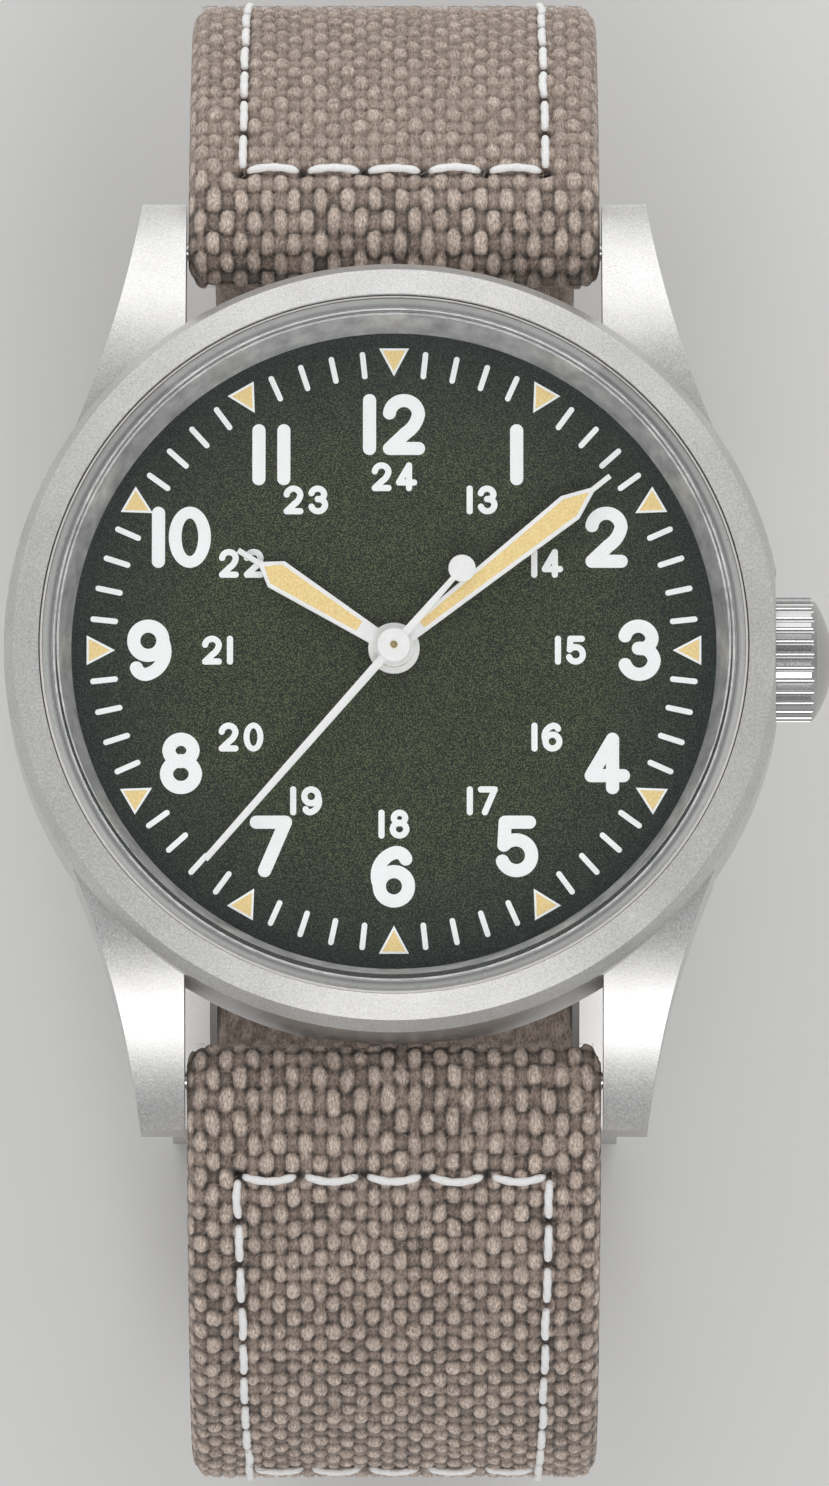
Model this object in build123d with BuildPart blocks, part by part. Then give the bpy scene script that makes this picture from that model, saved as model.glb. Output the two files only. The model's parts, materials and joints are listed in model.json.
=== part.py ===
"""Field watch on a closed canvas strap: steel case, hand-wound movement, dial, hands, crown and buckle.

Millimetres. +Z is up out of the dial, +Y is 12 o'clock and +X is 3 o'clock and the crown. The watch stands on
the keepers and buckle of its closed strap: z = 0 is that rest plane and the Z axis is the axis of the dial.
Heights of the head are measured from the dial's face, depths of the movement from the dial's seat.
"""

from math import atan2, cos, degrees, hypot, radians, sin
import os

from build123d import *

os.makedirs("parts", exist_ok=True)

# Whole watch
case_radius = 19.0
overrun = 1.0
running_gap = 0.03
print_thickness = 0.05

# Middle of the case
shoulder_height = 0.85
case_bottom = -4.9
flank_bottom = -3.4
foot_inset = 0.8
case_wall = 2.55
neck_inset = 1.25
neck_height = 1.4
lug_gap = 20.4
lug_reach = 4.0
lug_tip_width = 2.05
lug_root_inset = 3.4
lug_root_back = 8.1
lug_waist_side = 3.55
lug_waist_back = 6.8
lug_shoulder_back = 10.06
lug_crest_back = 3.6
lug_crest_height = -0.85
lug_tip_top = -3.7
lug_tip_bottom = -6.1
lug_under = -6.6
lug_under_back = 0.7
lug_heel_back = 5.4
lug_heel_height = -5.2
lug_edge = 0.12
bar_back = 2.4
bar_height = -3.7
strap_relief_radius = 2.2

# Crown seat
stem_height = -2.3
guard_half_width = 3.75
guard_inset = 0.42
crown_seat_inset = 1.05
crown_seat_radius = 3.2

# Bezel and crystal
bezel_gap = 0.02
bezel_band_height = 1.35
bezel_rim_height = 2.3
bezel_rim_inset = 0.45
bezel_lip_height = 2.6
crystal_bore_inset = 1.7
crystal_seat_height = 1.9
gasket_wall = 0.18
gasket_top = 2.25
crystal_edge_height = 2.5
crystal_bevel_width = 0.9
crystal_bevel_height = 2.95
crystal_top = 3.15

# Rehaut ring
rehaut_clearance = 0.04
rehaut_foot_inset = 3.3
rehaut_top_inset = 2.7
rehaut_lift = 0.03

# Case back
back_thread_gap = 0.05
back_inner = -4.6
back_flange_inset = 1.1
back_outer = -6.0
back_crown = -6.15
back_chamfer = 0.35
back_land_inset = 3.7
back_step = 0.12
back_notch_count = 6
back_notch_width = 2.4
back_notch_depth = 0.7
seal_land = 0.3
seal_width = 0.6
seal_height = 0.5

# Dial, its print and its marks
dial_edge_gap = 0.35
dial_thickness = 0.4
dial_hole_radius = 1.15
numeral_height = 3.02
numeral_inset_x = 1.55
numeral_inset_y = 2.33
small_numeral_height = 1.42
small_numeral_inset = 3.37
stroke_share = 0.212
figure_width_share = 0.68
numeral_gap_share = 0.11
wide_gap_share = 0.19
close_gap_share = 0.06
small_numeral_gap_share = 0.17
tick_inset = 0.85
tick_length = 1.35
tick_width = 0.27
ticks_per_hour = 5
hours = 12
minutes = 60
triangle_inset = 0.75
triangle_height = 1.38
triangle_width = 1.46
triangle_border = 0.105

# Hands
hand_thickness = 0.15
lume_inset = 0.02
hour_hand_height = 0.45
hour_hand_angle = 302.6
hour_hub_radius = 1.25
hour_neck_width = 0.72
hour_belly_back = 0.9
hour_belly_width = 1.5
hour_needle_length = 1.3
hour_tip_inset = 2.95
hour_needle_width = 0.26
hour_window_start = 2.0
minute_hand_height = 0.85
minute_hand_angle = 51.2
minute_hub_radius = 0.97
minute_neck_width = 0.66
minute_belly_back = 1.4
minute_belly_width = 1.42
minute_needle_length = 1.1
minute_needle_width = 0.24
minute_window_start = 1.75
hand_rim = 0.2
second_hand_height = 1.25
second_hand_angle = 221.0
second_hub_radius = 0.85
second_hub_rise = 0.14
second_base_width = 0.42
second_tip_width = 0.3
second_tip_reach = 0.45
second_disc_radius = 0.66
second_disc_distance = 5.05
second_tail_width = 0.24
second_pin_rise = 0.1

# Movement: plates and bridges, by depth under the dial's seat
movement_radius = 12.8
plate_top = 0.0
plate_bottom = 1.5
plate_rim_inset = 0.9
bridge_top = 3.15
bridge_bottom = 3.55
bridge_inset = 0.2
cock_top = 3.6
cock_bottom = 3.95
motion_recess_radius = 4.75
motion_recess_depth = 0.6
balance_well_radius = 4.35
bridge_split_y = 1.3
bridge_split_x = 1.45
bridge_split_low_y = -3.0
bridge_seam = 0.2
ring_edge_gap = 0.1
ring_gap = 0.05
ring_top = 0.06
ring_bottom = 3.55
jewel_radius = 0.75
jewel_bore_radius = 0.13
jewel_thickness = 0.2
bridge_screws = ((10.4, 28.0), (10.9, 122.0), (10.2, -32.0), (10.8, -112.0))
screw_head_radius = 0.7
screw_head_height = 0.3
screw_shank_radius = 0.35
screw_slot_width = 0.18
screw_slot_depth = 0.12
screw_counterbore = 0.2
screw_head_gap = 0.05
pillar_radius = 0.95
clamp_radius = 1.5
clamp_inset = 1.1
clamp_thickness = 0.18
clamp_gap = 0.02
clamp_directions = (55.0, -60.0)

# Movement: wheel train
tooth_rise_share = 0.95
tooth_fall_share = 1.2
tooth_root_share = 0.56
tooth_pitch_share = 0.42
tooth_tip_share = 0.16
wheel_thickness = 0.15
arbor_radius = 0.18
pivot_radius = 0.1
centre_teeth = 80
centre_pinion_teeth = 12
third_teeth = 75
third_pinion_teeth = 10
fourth_teeth = 84
fourth_pinion_teeth = 10
escape_pinion_teeth = 7
escape_teeth = 20
barrel_teeth = 84
third_distance = 5.0
third_direction = -70.0
escape_distance = 5.0
escape_direction = -140.0
barrel_distance = 6.0
barrel_direction = 78.0
centre_wheel_depth = 1.65
centre_pinion_depth = 1.9
centre_pinion_width = 0.32
centre_tube_radius = 0.42
centre_tube_bore = 0.22
third_wheel_depth = 2.35
third_pinion_depth = 1.6
third_pinion_width = 0.3
fourth_wheel_depth = 2.86
fourth_pinion_depth = 2.3
fourth_pinion_width = 0.25
escape_wheel_depth = 2.58
escape_wheel_thickness = 0.12
escape_pinion_depth = 2.82
escape_pinion_width = 0.22
escape_radius = 2.2
escape_root_radius = 1.75
escape_hook_share = 0.35
escape_tip_share = 0.455
escape_back_share = 0.525
barrel_top = 1.92
barrel_bottom = 2.72
barrel_tooth_width = 0.24
barrel_wall = 0.3
barrel_floor = 0.12
barrel_drum_gap = 0.15
barrel_lid = 0.12
arbor_core_radius = 1.2
barrel_arbor_radius = 0.6
mainspring_turns = 7
spiral_points = 24
mainspring_strip = 0.12
ratchet_depth = 3.62
ratchet_thickness = 0.23
ratchet_teeth = 60
crown_wheel_teeth = 39
ratchet_distance = 6.6
click_length = 2.2
click_width = 0.7
click_clearance = 0.12
click_post_radius = 0.2
click_direction = 205.0

# Movement: escapement and balance
pallet_distance = 2.54
balance_distance = 8.3
balance_direction = -177.5
pallet_depth = 2.58
pallet_thickness = 0.12
pallet_arm = 1.25
pallet_stone_width = 0.22
pallet_stone_gap = 0.16
pallet_body_width = 0.34
pallet_fork_length = 2.15
pallet_fork_width = 0.5
pallet_bridge_depth = 2.8
pallet_bridge_thickness = 0.14
pallet_bridge_reach = 2.6
pallet_bridge_width = 0.9
balance_rim_depth = 3.12
balance_rim_height = 0.22
balance_radius = 4.1
balance_rim_width = 0.45
balance_arm_width = 0.5
balance_hub_radius = 0.55
roller_depth = 2.62
roller_height = 0.14
roller_radius = 0.5
impulse_pin_radius = 0.06
impulse_pin_distance = 0.42
impulse_pin_length = 0.12
hairspring_depth = 3.4
hairspring_height = 0.1
hairspring_inner_radius = 0.62
hairspring_turns = 8
hairspring_pitch = 0.2
hairspring_strip = 0.05
cock_width = 2.2
cock_foot_distance = 9.24
cock_foot_direction = 141.0
cock_foot_gap = 0.15
stud_radius = 0.12

# Movement: motion work under the dial
cannon_teeth = 12
minute_wheel_teeth = 36
minute_pinion_teeth = 10
hour_wheel_teeth = 40
motion_distance = 2.5
motion_direction = -15.0
motion_wheel_depth = 0.36
motion_wheel_thickness = 0.18
hour_wheel_depth = 0.08
hour_wheel_thickness = 0.2
cannon_radius = 0.62
hour_pipe_bore = 0.68
hour_pipe_radius = 0.95
post_radius = 0.2

# Crown, stem and winding work
crown_radius = 3.05
crown_inset = 0.8
crown_length = 2.42
crown_dome_rise = 0.8
crown_chamfer = 0.28
crown_flute_count = 30
crown_flute_radius = 0.2
crown_flute_offset = 0.06
crown_bore_radius = 1.75
crown_bore_depth = 2.1
tube_radius = 1.25
tube_bore_radius = 0.8
tube_depth = 2.4
tube_reach = 1.9
crown_gasket_inset = 0.3
crown_gasket_length = 0.35
stem_radius = 0.45
stem_inner_x = 4.75
stem_thread_depth = 0.5
winding_pinion_x = 6.55
winding_pinion_length = 0.9
winding_pinion_radius = 1.68
winding_pinion_teeth = 16
sliding_pinion_x = 5.7
sliding_pinion_length = 0.8
sliding_groove_radius = 0.6
sliding_groove_width = 0.22
sliding_pinion_radius = 0.95
yoke_wall = 0.14
yoke_reach = 2.0
yoke_half_height = 0.38
winding_pocket_half_width = 1.8
winding_pocket_depth = 0.12
winding_slot_half_width = 1.3
winding_pocket_gap = 0.1
yoke_pocket_x = 5.15

# Strap
strap_thickness = 2.2
strap_width = 20.0
strap_tail_width = 18.0
strap_taper_top = -23.0
strap_taper_bottom = -37.0
loop_blend = 5.0
buckle_loop_blend = 1.5
loop_radius = 1.85
strap_leave_angle = 10.0
upper_reach = 36.0
lower_reach = 37.6
layer_gap = 0.2
short_bend_radius = 17.0
ramp_drop = 1.2
ramp_start_y = -15.2
ramp_end_y = -7.2
tail_curl = 42.0
tail_point_length = 7.0
tail_side_share = 2 / 3
tail_shoulder_share = 1 / 3
hole_pitch = 6.5
hole_radius = 1.1
hole_steps = (-1, 1, 2, 3, 4)
tongue_slot_length = 4.4
tongue_slot_width = 2.3
tongue_slot_y = -9.7

# Spring bars
spring_tube_radius = 0.75
spring_tube_bore = 0.5
spring_tube_inset = 0.75
pin_radius = 0.45
pin_shoulder = 2.4
pin_tip_radius = 0.38
pin_reach = 0.85
pin_travel = 0.85
pin_gap = 0.05
bar_wire_radius = 0.32

# Keepers and buckle
keeper_wall = 1.2
keeper_gap = 0.3
keeper_length = 5.0
keeper_side_gap = 0.45
free_keeper_y = 9.0
buckle_bar_y = -5.2
buckle_front_y = -16.9
buckle_side_width = 1.9
buckle_side_gap = 0.35
buckle_eye_radius = 1.3
keeper_corner = 1.0
tongue_width = 1.7
tongue_thickness = 1.0
tongue_ring_radius = 1.45
tongue_bore_gap = 0.05
tongue_knee_y = -8.1
tongue_knee_rise = 0.15
tongue_drop_y = -11.4
tongue_drop_gap = 0.15
tongue_rest_y = -15.2
tongue_tip_y = -18.3
tongue_floor_gap = 0.06
notch_gap = 0.15

# Radii and reaches that follow the case, the crystal and the movement
foot_radius = case_radius - foot_inset
cavity_radius = case_radius - case_wall
neck_radius = case_radius - neck_inset
lug_half_length = case_radius + lug_reach
lug_root_x = case_radius - lug_root_inset
lug_root_y = case_radius - lug_root_back
lug_waist_x = lug_gap / 2 + lug_waist_side
lug_waist_y = lug_half_length - lug_waist_back
lug_shoulder_y = lug_half_length - lug_shoulder_back
lug_crest_y = lug_half_length - lug_crest_back
lug_under_y = lug_half_length - lug_under_back
lug_heel_y = lug_half_length - lug_heel_back
bar_y = lug_half_length - bar_back
guard_x = case_radius - guard_inset
crown_seat_x = case_radius - crown_seat_inset
bezel_rim_radius = case_radius - bezel_rim_inset
crystal_bore_radius = case_radius - crystal_bore_inset
crystal_bevel_radius = crystal_bore_radius - crystal_bevel_width
rehaut_foot_radius = case_radius - rehaut_foot_inset
rehaut_top_radius = case_radius - rehaut_top_inset
back_thread_radius = cavity_radius - back_thread_gap
back_flange_radius = case_radius - back_flange_inset
back_land_radius = back_flange_radius - back_land_inset
seal_inner_radius = cavity_radius + seal_land
seal_outer_radius = seal_inner_radius + seal_width
dial_radius = cavity_radius - dial_edge_gap
tick_outer_radius = rehaut_foot_radius - tick_inset
tick_inner_radius = tick_outer_radius - tick_length
triangle_outer_radius = rehaut_foot_radius - triangle_inset
numeral_radius_x = tick_inner_radius - numeral_inset_x
numeral_radius_y = tick_inner_radius - numeral_inset_y
small_numeral_radius = numeral_radius_x - small_numeral_inset
hour_tip_radius = numeral_radius_x - hour_tip_inset
hour_body_radius = hour_tip_radius - hour_needle_length
hour_belly_radius = hour_body_radius - hour_belly_back
minute_tip_radius = tick_inner_radius
minute_body_radius = minute_tip_radius - minute_needle_length
minute_belly_radius = minute_body_radius - minute_belly_back
second_tip_radius = tick_inner_radius + second_tip_reach
plate_rim_radius = movement_radius - plate_rim_inset
bridge_radius = movement_radius - bridge_inset
ring_outer_radius = cavity_radius - ring_edge_gap
ring_inner_radius = movement_radius + ring_gap
clamp_distance = movement_radius - clamp_inset
crown_inner_x = case_radius - crown_inset
crown_outer_x = crown_inner_x + crown_length
crown_dome_x = crown_outer_x + crown_dome_rise
tube_inner_x = case_radius - tube_depth
tube_outer_x = crown_inner_x + tube_reach
crown_gasket_x = crown_inner_x + crown_gasket_inset

# Line of the strap, in the plane through 12 and 6 o'clock with heights from the dial's face
leave = radians(strap_leave_angle)
half_strap = strap_thickness / 2
strap_start_y = bar_y + (loop_radius - half_strap) * sin(leave)
strap_start_height = bar_height + (loop_radius - half_strap) * cos(leave)
upper_radius = (upper_reach - half_strap - strap_start_y) / (1 - sin(leave))
lower_radius = (lower_reach - half_strap - strap_start_y) / (1 - sin(leave))
upper_waist = strap_start_height - upper_radius * cos(leave)
lower_waist = strap_start_height - lower_radius * cos(leave)
short_level = upper_waist - short_bend_radius
short_bend_y = upper_reach - half_strap - short_bend_radius
tail_level = short_level - strap_thickness - layer_gap
front_level = tail_level + ramp_drop
long_bend_radius = lower_waist - front_level
tail_bend_radius = short_bend_radius + strap_thickness + layer_gap
keeper_floor = tail_level - half_strap - keeper_gap - keeper_wall
keeper_roof = short_level + half_strap + keeper_gap + keeper_wall
dial_height = -keeper_floor

# Places worked out from the sizes above
seat_height = -dial_thickness
dial_plane = Plane.XY.offset(dial_height)
head_section = Plane(origin=(0, 0, dial_height), x_dir=(1, 0, 0), z_dir=(0, -1, 0))
side_section = Plane(origin=(0, 0, dial_height), x_dir=(0, 1, 0), z_dir=(1, 0, 0))
stem_plane = Plane(origin=(0, 0, dial_height + stem_height), x_dir=(0, 1, 0), z_dir=(1, 0, 0))
lug_inner_x = lug_gap / 2


def depth_plane(depth):
    """Plane at a depth under the dial's seat, facing up."""
    return dial_plane.offset(seat_height - depth)


def polar(distance, direction):
    """Point of the XY plane at a distance and a direction in degrees from +X."""
    return (distance * cos(radians(direction)), distance * sin(radians(direction)))


def clock(distance, angle):
    """Point of the dial at a distance from its centre and an angle clockwise from 12 o'clock."""
    return (distance * sin(radians(angle)), distance * cos(radians(angle)))


third_centre = polar(third_distance, third_direction)
escape_centre = polar(escape_distance, escape_direction)
barrel_centre = polar(barrel_distance, barrel_direction)
balance_centre = polar(balance_distance, balance_direction)
motion_centre = polar(motion_distance, motion_direction)
lever_direction = degrees(
    atan2(balance_centre[1] - escape_centre[1], balance_centre[0] - escape_centre[0])
)
pallet_centre = (
    escape_centre[0] + pallet_distance * cos(radians(lever_direction)),
    escape_centre[1] + pallet_distance * sin(radians(lever_direction)),
)
centre_module = 2 * third_distance / (centre_teeth + third_pinion_teeth)
third_module = 2 * third_distance / (third_teeth + fourth_pinion_teeth)
fourth_module = 2 * escape_distance / (fourth_teeth + escape_pinion_teeth)
barrel_module = 2 * barrel_distance / (barrel_teeth + centre_pinion_teeth)
cannon_module = 2 * motion_distance / (cannon_teeth + minute_wheel_teeth)
hour_module = 2 * motion_distance / (minute_pinion_teeth + hour_wheel_teeth)
ratchet_module = 2 * ratchet_distance / (ratchet_teeth + crown_wheel_teeth)
crown_wheel_centre = (
    barrel_centre[0] + (ratchet_distance**2 - barrel_centre[1] ** 2) ** 0.5,
    0,
)


def gear_face(teeth, module, phase):
    """Toothed face on its own centre, with the middle of a tooth at the phase angle."""
    pitch_radius = teeth * module / 2
    pitch_angle = 360 / teeth
    root = (pitch_radius - tooth_fall_share * module, tooth_root_share)
    middle = (pitch_radius, tooth_pitch_share)
    tip = (pitch_radius + tooth_rise_share * module, tooth_tip_share)
    profile = [(root, -1), (middle, -1), (tip, -1), (tip, 1), (middle, 1), (root, 1)]
    points = []
    for tooth in range(teeth):
        for (radius, width_share), side in profile:
            points.append(polar(radius, phase + (tooth + side * width_share / 2) * pitch_angle))
    with BuildSketch() as gear:
        with BuildLine():
            Polyline(*points, close=True)
        make_face()
    return gear.sketch


def mating_phase(teeth, phase, mate_teeth, direction):
    """Phase of a mate that lies in the given direction, so that its gap meets this gear's tooth."""
    shift = (direction - phase) * teeth / 360
    return direction + 180 - (0.5 - shift) * 360 / mate_teeth


def spiral_face(inner_radius, pitch, turns, strip):
    """Flat spiral strip from a formula, with a stated number of points a turn."""
    steps = range(int(turns * spiral_points) + 1)
    step_angle = 360 / spiral_points
    step_pitch = pitch / spiral_points
    inner = [polar(inner_radius + step_pitch * i, step_angle * i) for i in steps]
    outer = [polar(inner_radius + strip + step_pitch * i, step_angle * i) for i in steps]
    with BuildSketch() as spiral:
        with BuildLine():
            Polyline(*inner, *reversed(outer), close=True)
        make_face()
    return spiral.sketch


# Figures of the dial: strokes through two or three points, as shares of the figure's height
half_width_share = (figure_width_share - stroke_share) / 2
half_height_share = (1 - stroke_share) / 2
left, right = -half_width_share, half_width_share
low, high = -half_height_share, half_height_share
figure_stroke_shares = {
    "1": [((0, high), (0, low))],
    "2": [
        ((left, 0.19), (-0.01, high), (right, 0.165)),
        ((right, 0.165), (0.17, 0), (0.03, -0.14)),
        ((0.03, -0.14), (left, low)),
        ((left, low), (right, low)),
    ],
    "3": [
        ((left, 0.235), (-0.01, high), (0.2, 0.2)),
        ((0.2, 0.2), (0.14, 0.07), (-0.02, 0.03)),
        ((-0.02, 0.03), (0.17, -0.03), (right, -0.17)),
        ((right, -0.17), (0, low), (left, -0.235)),
    ],
    "4": [
        ((0.09, high), (left - 0.02, -0.2)),
        ((left - 0.02, -0.2), (right + 0.03, -0.2)),
        ((0.09, high), (0.09, low)),
    ],
    "5": [
        ((-0.19, high), (0.2, high)),
        ((-0.19, high), (-0.21, 0.02)),
        ((-0.21, 0.02), (0.04, 0.1), (right, -0.145)),
        ((right, -0.145), (0.01, low), (left, -0.24)),
    ],
    "6": [
        ((left, -0.14), (-0.005, 0.085), (right, -0.155)),
        ((right, -0.155), (0, low), (left, -0.14)),
        ((left, -0.14), (-0.2, 0.24), (0.02, high)),
        ((0.02, high), (0.12, 0.375), (0.19, 0.29)),
    ],
    "7": [
        ((left, high), (right, high)),
        ((right, high), (-0.1, low)),
    ],
    "8": [
        ((-0.195, 0.205), (0, high), (0.195, 0.205)),
        ((0.195, 0.205), (0, 0.03), (-0.195, 0.205)),
        ((left, -0.17), (0, 0.045), (right, -0.17)),
        ((right, -0.17), (0, low), (left, -0.17)),
    ],
}
figure_stroke_shares["9"] = [
    tuple((-x, -y) for x, y in stroke) for stroke in figure_stroke_shares["6"]
]
zero_counter_width_share = 0.27
zero_counter_height_share = 0.62


def figure_face(symbol, height):
    """Face of one figure, centred on its own middle."""
    with BuildSketch() as figure:
        if symbol == "0":
            Ellipse(height * figure_width_share / 2, height / 2)
            Ellipse(
                height * zero_counter_width_share / 2,
                height * zero_counter_height_share / 2,
                mode=Mode.SUBTRACT,
            )
        for stroke in figure_stroke_shares.get(symbol, []):
            points = [(x * height, y * height) for x, y in stroke]
            width = stroke_share * height
            if len(points) == 3:
                SlotArc(ThreePointArc(*points, mode=Mode.PRIVATE), width)
            else:
                (x0, y0), (x1, y1) = points
                with Locations(((x0 + x1) / 2, (y0 + y1) / 2)):
                    SlotCenterToCenter(
                        hypot(x1 - x0, y1 - y0),
                        width,
                        rotation=degrees(atan2(y1 - y0, x1 - x0)),
                    )
    return figure.sketch


def number_face(number, height, gap_share):
    """Face of a number of one or two figures, centred on its own middle."""
    symbols = str(number)
    widths = [stroke_share if s == "1" else figure_width_share for s in symbols]
    total = sum(widths) + gap_share * (len(symbols) - 1)
    figures = [figure_face(symbol, height) for symbol in symbols]
    start = -total / 2
    with BuildSketch() as face:
        for width, figure in zip(widths, figures):
            with Locations(((start + width / 2) * height, 0)):
                add(figure)
            start += width + gap_share
    return face.sketch


def number_gap_share(number):
    """Gap between the figures of an hour numeral: a pair of ones stands wider, a round zero closer."""
    if number == 11:
        return wide_gap_share
    if number == 10:
        return close_gap_share
    return numeral_gap_share


# Middle of the case: four lugs cut from their side and plan outlines, round body, seats and holes
with BuildPart() as case_middle:
    with BuildSketch(side_section):
        with BuildLine():
            Line((0, shoulder_height), (lug_shoulder_y, shoulder_height))
            crest = ThreePointArc(
                (lug_shoulder_y, shoulder_height),
                (lug_crest_y, lug_crest_height),
                (lug_half_length - lug_edge, lug_tip_top),
            )
            Polyline(
                crest @ 1,
                (lug_half_length, lug_tip_top - lug_edge),
                (lug_half_length, lug_tip_bottom),
                (lug_under_y, lug_under),
                (lug_heel_y, lug_heel_height),
                (foot_radius - overrun, case_bottom),
                (0, case_bottom),
                (0, shoulder_height),
            )
        make_face()
        mirror(about=Plane.YZ)
    extrude(amount=case_radius, both=True)
    with BuildSketch(dial_plane):
        with BuildLine():
            lug_flank = ThreePointArc(
                (lug_root_x, lug_root_y),
                (lug_waist_x, lug_waist_y),
                (lug_inner_x + lug_tip_width, lug_half_length + overrun),
            )
            Polyline(
                lug_flank @ 1,
                (lug_inner_x, lug_half_length + overrun),
                (lug_inner_x, lug_root_y),
                (lug_root_x, lug_root_y),
            )
        make_face()
        mirror(about=Plane.YZ)
        mirror(about=Plane.XZ)
    extrude(amount=2 * case_radius, both=True, mode=Mode.INTERSECT)
    with BuildSketch(head_section):
        with BuildLine():
            Polyline(
                (cavity_radius, case_bottom),
                (foot_radius, case_bottom),
                (case_radius, flank_bottom),
                (case_radius, shoulder_height),
                (neck_radius, shoulder_height),
                (neck_radius, neck_height),
                (cavity_radius, neck_height),
                close=True,
            )
        make_face()
    revolve(axis=Axis.Z)
    with BuildSketch(stem_plane.offset(guard_x)):
        Rectangle(2 * guard_half_width, 2 * case_radius)
    extrude(amount=case_radius, mode=Mode.SUBTRACT)
    with BuildSketch(stem_plane.offset(crown_seat_x)):
        Circle(crown_seat_radius)
    extrude(amount=case_radius, mode=Mode.SUBTRACT)
    with BuildSketch(stem_plane.offset(cavity_radius - overrun)):
        Circle(tube_radius)
    extrude(amount=case_radius, mode=Mode.SUBTRACT)
    with BuildSketch(side_section):
        with Locations((bar_y, bar_height), (-bar_y, bar_height)):
            Circle(strap_relief_radius)
    extrude(amount=lug_inner_x, both=True, mode=Mode.SUBTRACT)
    with BuildSketch(side_section):
        with Locations((bar_y, bar_height), (-bar_y, bar_height)):
            Circle(pin_tip_radius + running_gap)
    extrude(amount=lug_inner_x + pin_reach + pin_gap, both=True, mode=Mode.SUBTRACT)
    with BuildSketch(head_section):
        with BuildLine():
            Polyline(
                (0, case_bottom - overrun),
                (cavity_radius, case_bottom - overrun),
                (cavity_radius, neck_height + overrun),
                (0, neck_height + overrun),
                close=True,
            )
        make_face()
    revolve(axis=Axis.Z, mode=Mode.SUBTRACT)
    with BuildSketch(dial_plane.offset(case_bottom)):
        Circle(seal_outer_radius)
        Circle(seal_inner_radius, mode=Mode.SUBTRACT)
    extrude(amount=seal_height, mode=Mode.SUBTRACT)
case_middle.part.label = "case_middle"
export_step(case_middle.part, "parts/case_middle.step")

# Bezel: pressed over the neck of the case, with the crystal's seat and bore
with BuildPart() as bezel:
    with BuildSketch(head_section):
        with BuildLine():
            Polyline(
                (neck_radius, shoulder_height),
                (case_radius, shoulder_height),
                (case_radius, bezel_band_height),
                (bezel_rim_radius, bezel_rim_height),
                (crystal_bore_radius, bezel_lip_height),
                (crystal_bore_radius, crystal_seat_height),
                (cavity_radius, crystal_seat_height),
                (cavity_radius, neck_height + bezel_gap),
                (neck_radius, neck_height + bezel_gap),
                close=True,
            )
        make_face()
    revolve(axis=Axis.Z)
    with BuildSketch(stem_plane.offset(guard_x)):
        Rectangle(2 * guard_half_width, 2 * case_radius)
    extrude(amount=case_radius, mode=Mode.SUBTRACT)
bezel.part.label = "bezel"
export_step(bezel.part, "parts/bezel.step")

# Crystal: flat underside, bevelled edge, slightly domed top
crystal_radius = crystal_bore_radius - gasket_wall
with BuildPart() as crystal:
    with BuildSketch(head_section):
        with BuildLine():
            Polyline(
                (0, crystal_top),
                (0, crystal_seat_height),
                (crystal_radius, crystal_seat_height),
                (crystal_radius, crystal_edge_height),
                (crystal_bevel_radius, crystal_bevel_height),
            )
            TangentArc(
                (0, crystal_top), (crystal_bevel_radius, crystal_bevel_height), tangent=(1, 0)
            )
        make_face()
    revolve(axis=Axis.Z)
crystal.part.label = "crystal"
export_step(crystal.part, "parts/crystal.step")

# Gasket that holds the crystal in its bore
with BuildPart() as crystal_gasket:
    with BuildSketch(dial_plane.offset(crystal_seat_height)):
        Circle(crystal_bore_radius)
        Circle(crystal_radius, mode=Mode.SUBTRACT)
    extrude(amount=gasket_top - crystal_seat_height)
crystal_gasket.part.label = "crystal_gasket"
export_step(crystal_gasket.part, "parts/crystal_gasket.step")

# Rehaut: the sloped ring between the dial and the crystal
with BuildPart() as rehaut_ring:
    with BuildSketch(head_section):
        with BuildLine():
            Polyline(
                (rehaut_foot_radius, rehaut_lift),
                (cavity_radius - rehaut_clearance, rehaut_lift),
                (cavity_radius - rehaut_clearance, crystal_seat_height - rehaut_lift),
                (rehaut_top_radius, crystal_seat_height - rehaut_lift),
                close=True,
            )
        make_face()
    revolve(axis=Axis.Z)
rehaut_ring.part.label = "rehaut_ring"
export_step(rehaut_ring.part, "parts/rehaut_ring.step")

# Screwed case back with its thread neck and six key notches
with BuildPart() as caseback:
    with BuildSketch(head_section):
        with BuildLine():
            Polyline(
                (0, back_inner),
                (back_thread_radius, back_inner),
                (back_thread_radius, case_bottom),
                (back_flange_radius, case_bottom),
                (back_flange_radius, back_outer + back_chamfer),
                (back_flange_radius - back_chamfer, back_outer),
                (back_land_radius, back_outer),
                (back_land_radius - back_step, back_outer - back_step),
                (0, back_crown),
                close=True,
            )
        make_face()
    revolve(axis=Axis.Z)
    with BuildSketch(dial_plane.offset(back_outer)):
        with PolarLocations(back_flange_radius, back_notch_count, start_angle=180 / back_notch_count):
            Rectangle(2 * back_notch_depth, back_notch_width)
    extrude(amount=back_notch_depth, mode=Mode.SUBTRACT)
caseback.part.label = "caseback"
export_step(caseback.part, "parts/caseback.step")

# Seal ring between the case back and the case
with BuildPart() as caseback_gasket:
    with BuildSketch(dial_plane.offset(case_bottom)):
        Circle(seal_outer_radius - running_gap)
        Circle(seal_inner_radius + running_gap, mode=Mode.SUBTRACT)
    extrude(amount=seal_height - running_gap)
caseback_gasket.part.label = "caseback_gasket"
export_step(caseback_gasket.part, "parts/caseback_gasket.step")

# Tube pressed into the case for the crown
with BuildPart() as crown_tube:
    with BuildSketch(stem_plane.offset(tube_inner_x)):
        Circle(tube_radius)
        Circle(tube_bore_radius, mode=Mode.SUBTRACT)
    extrude(amount=tube_outer_x - tube_inner_x)
crown_tube.part.label = "crown_tube"
export_step(crown_tube.part, "parts/crown_tube.step")

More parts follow.
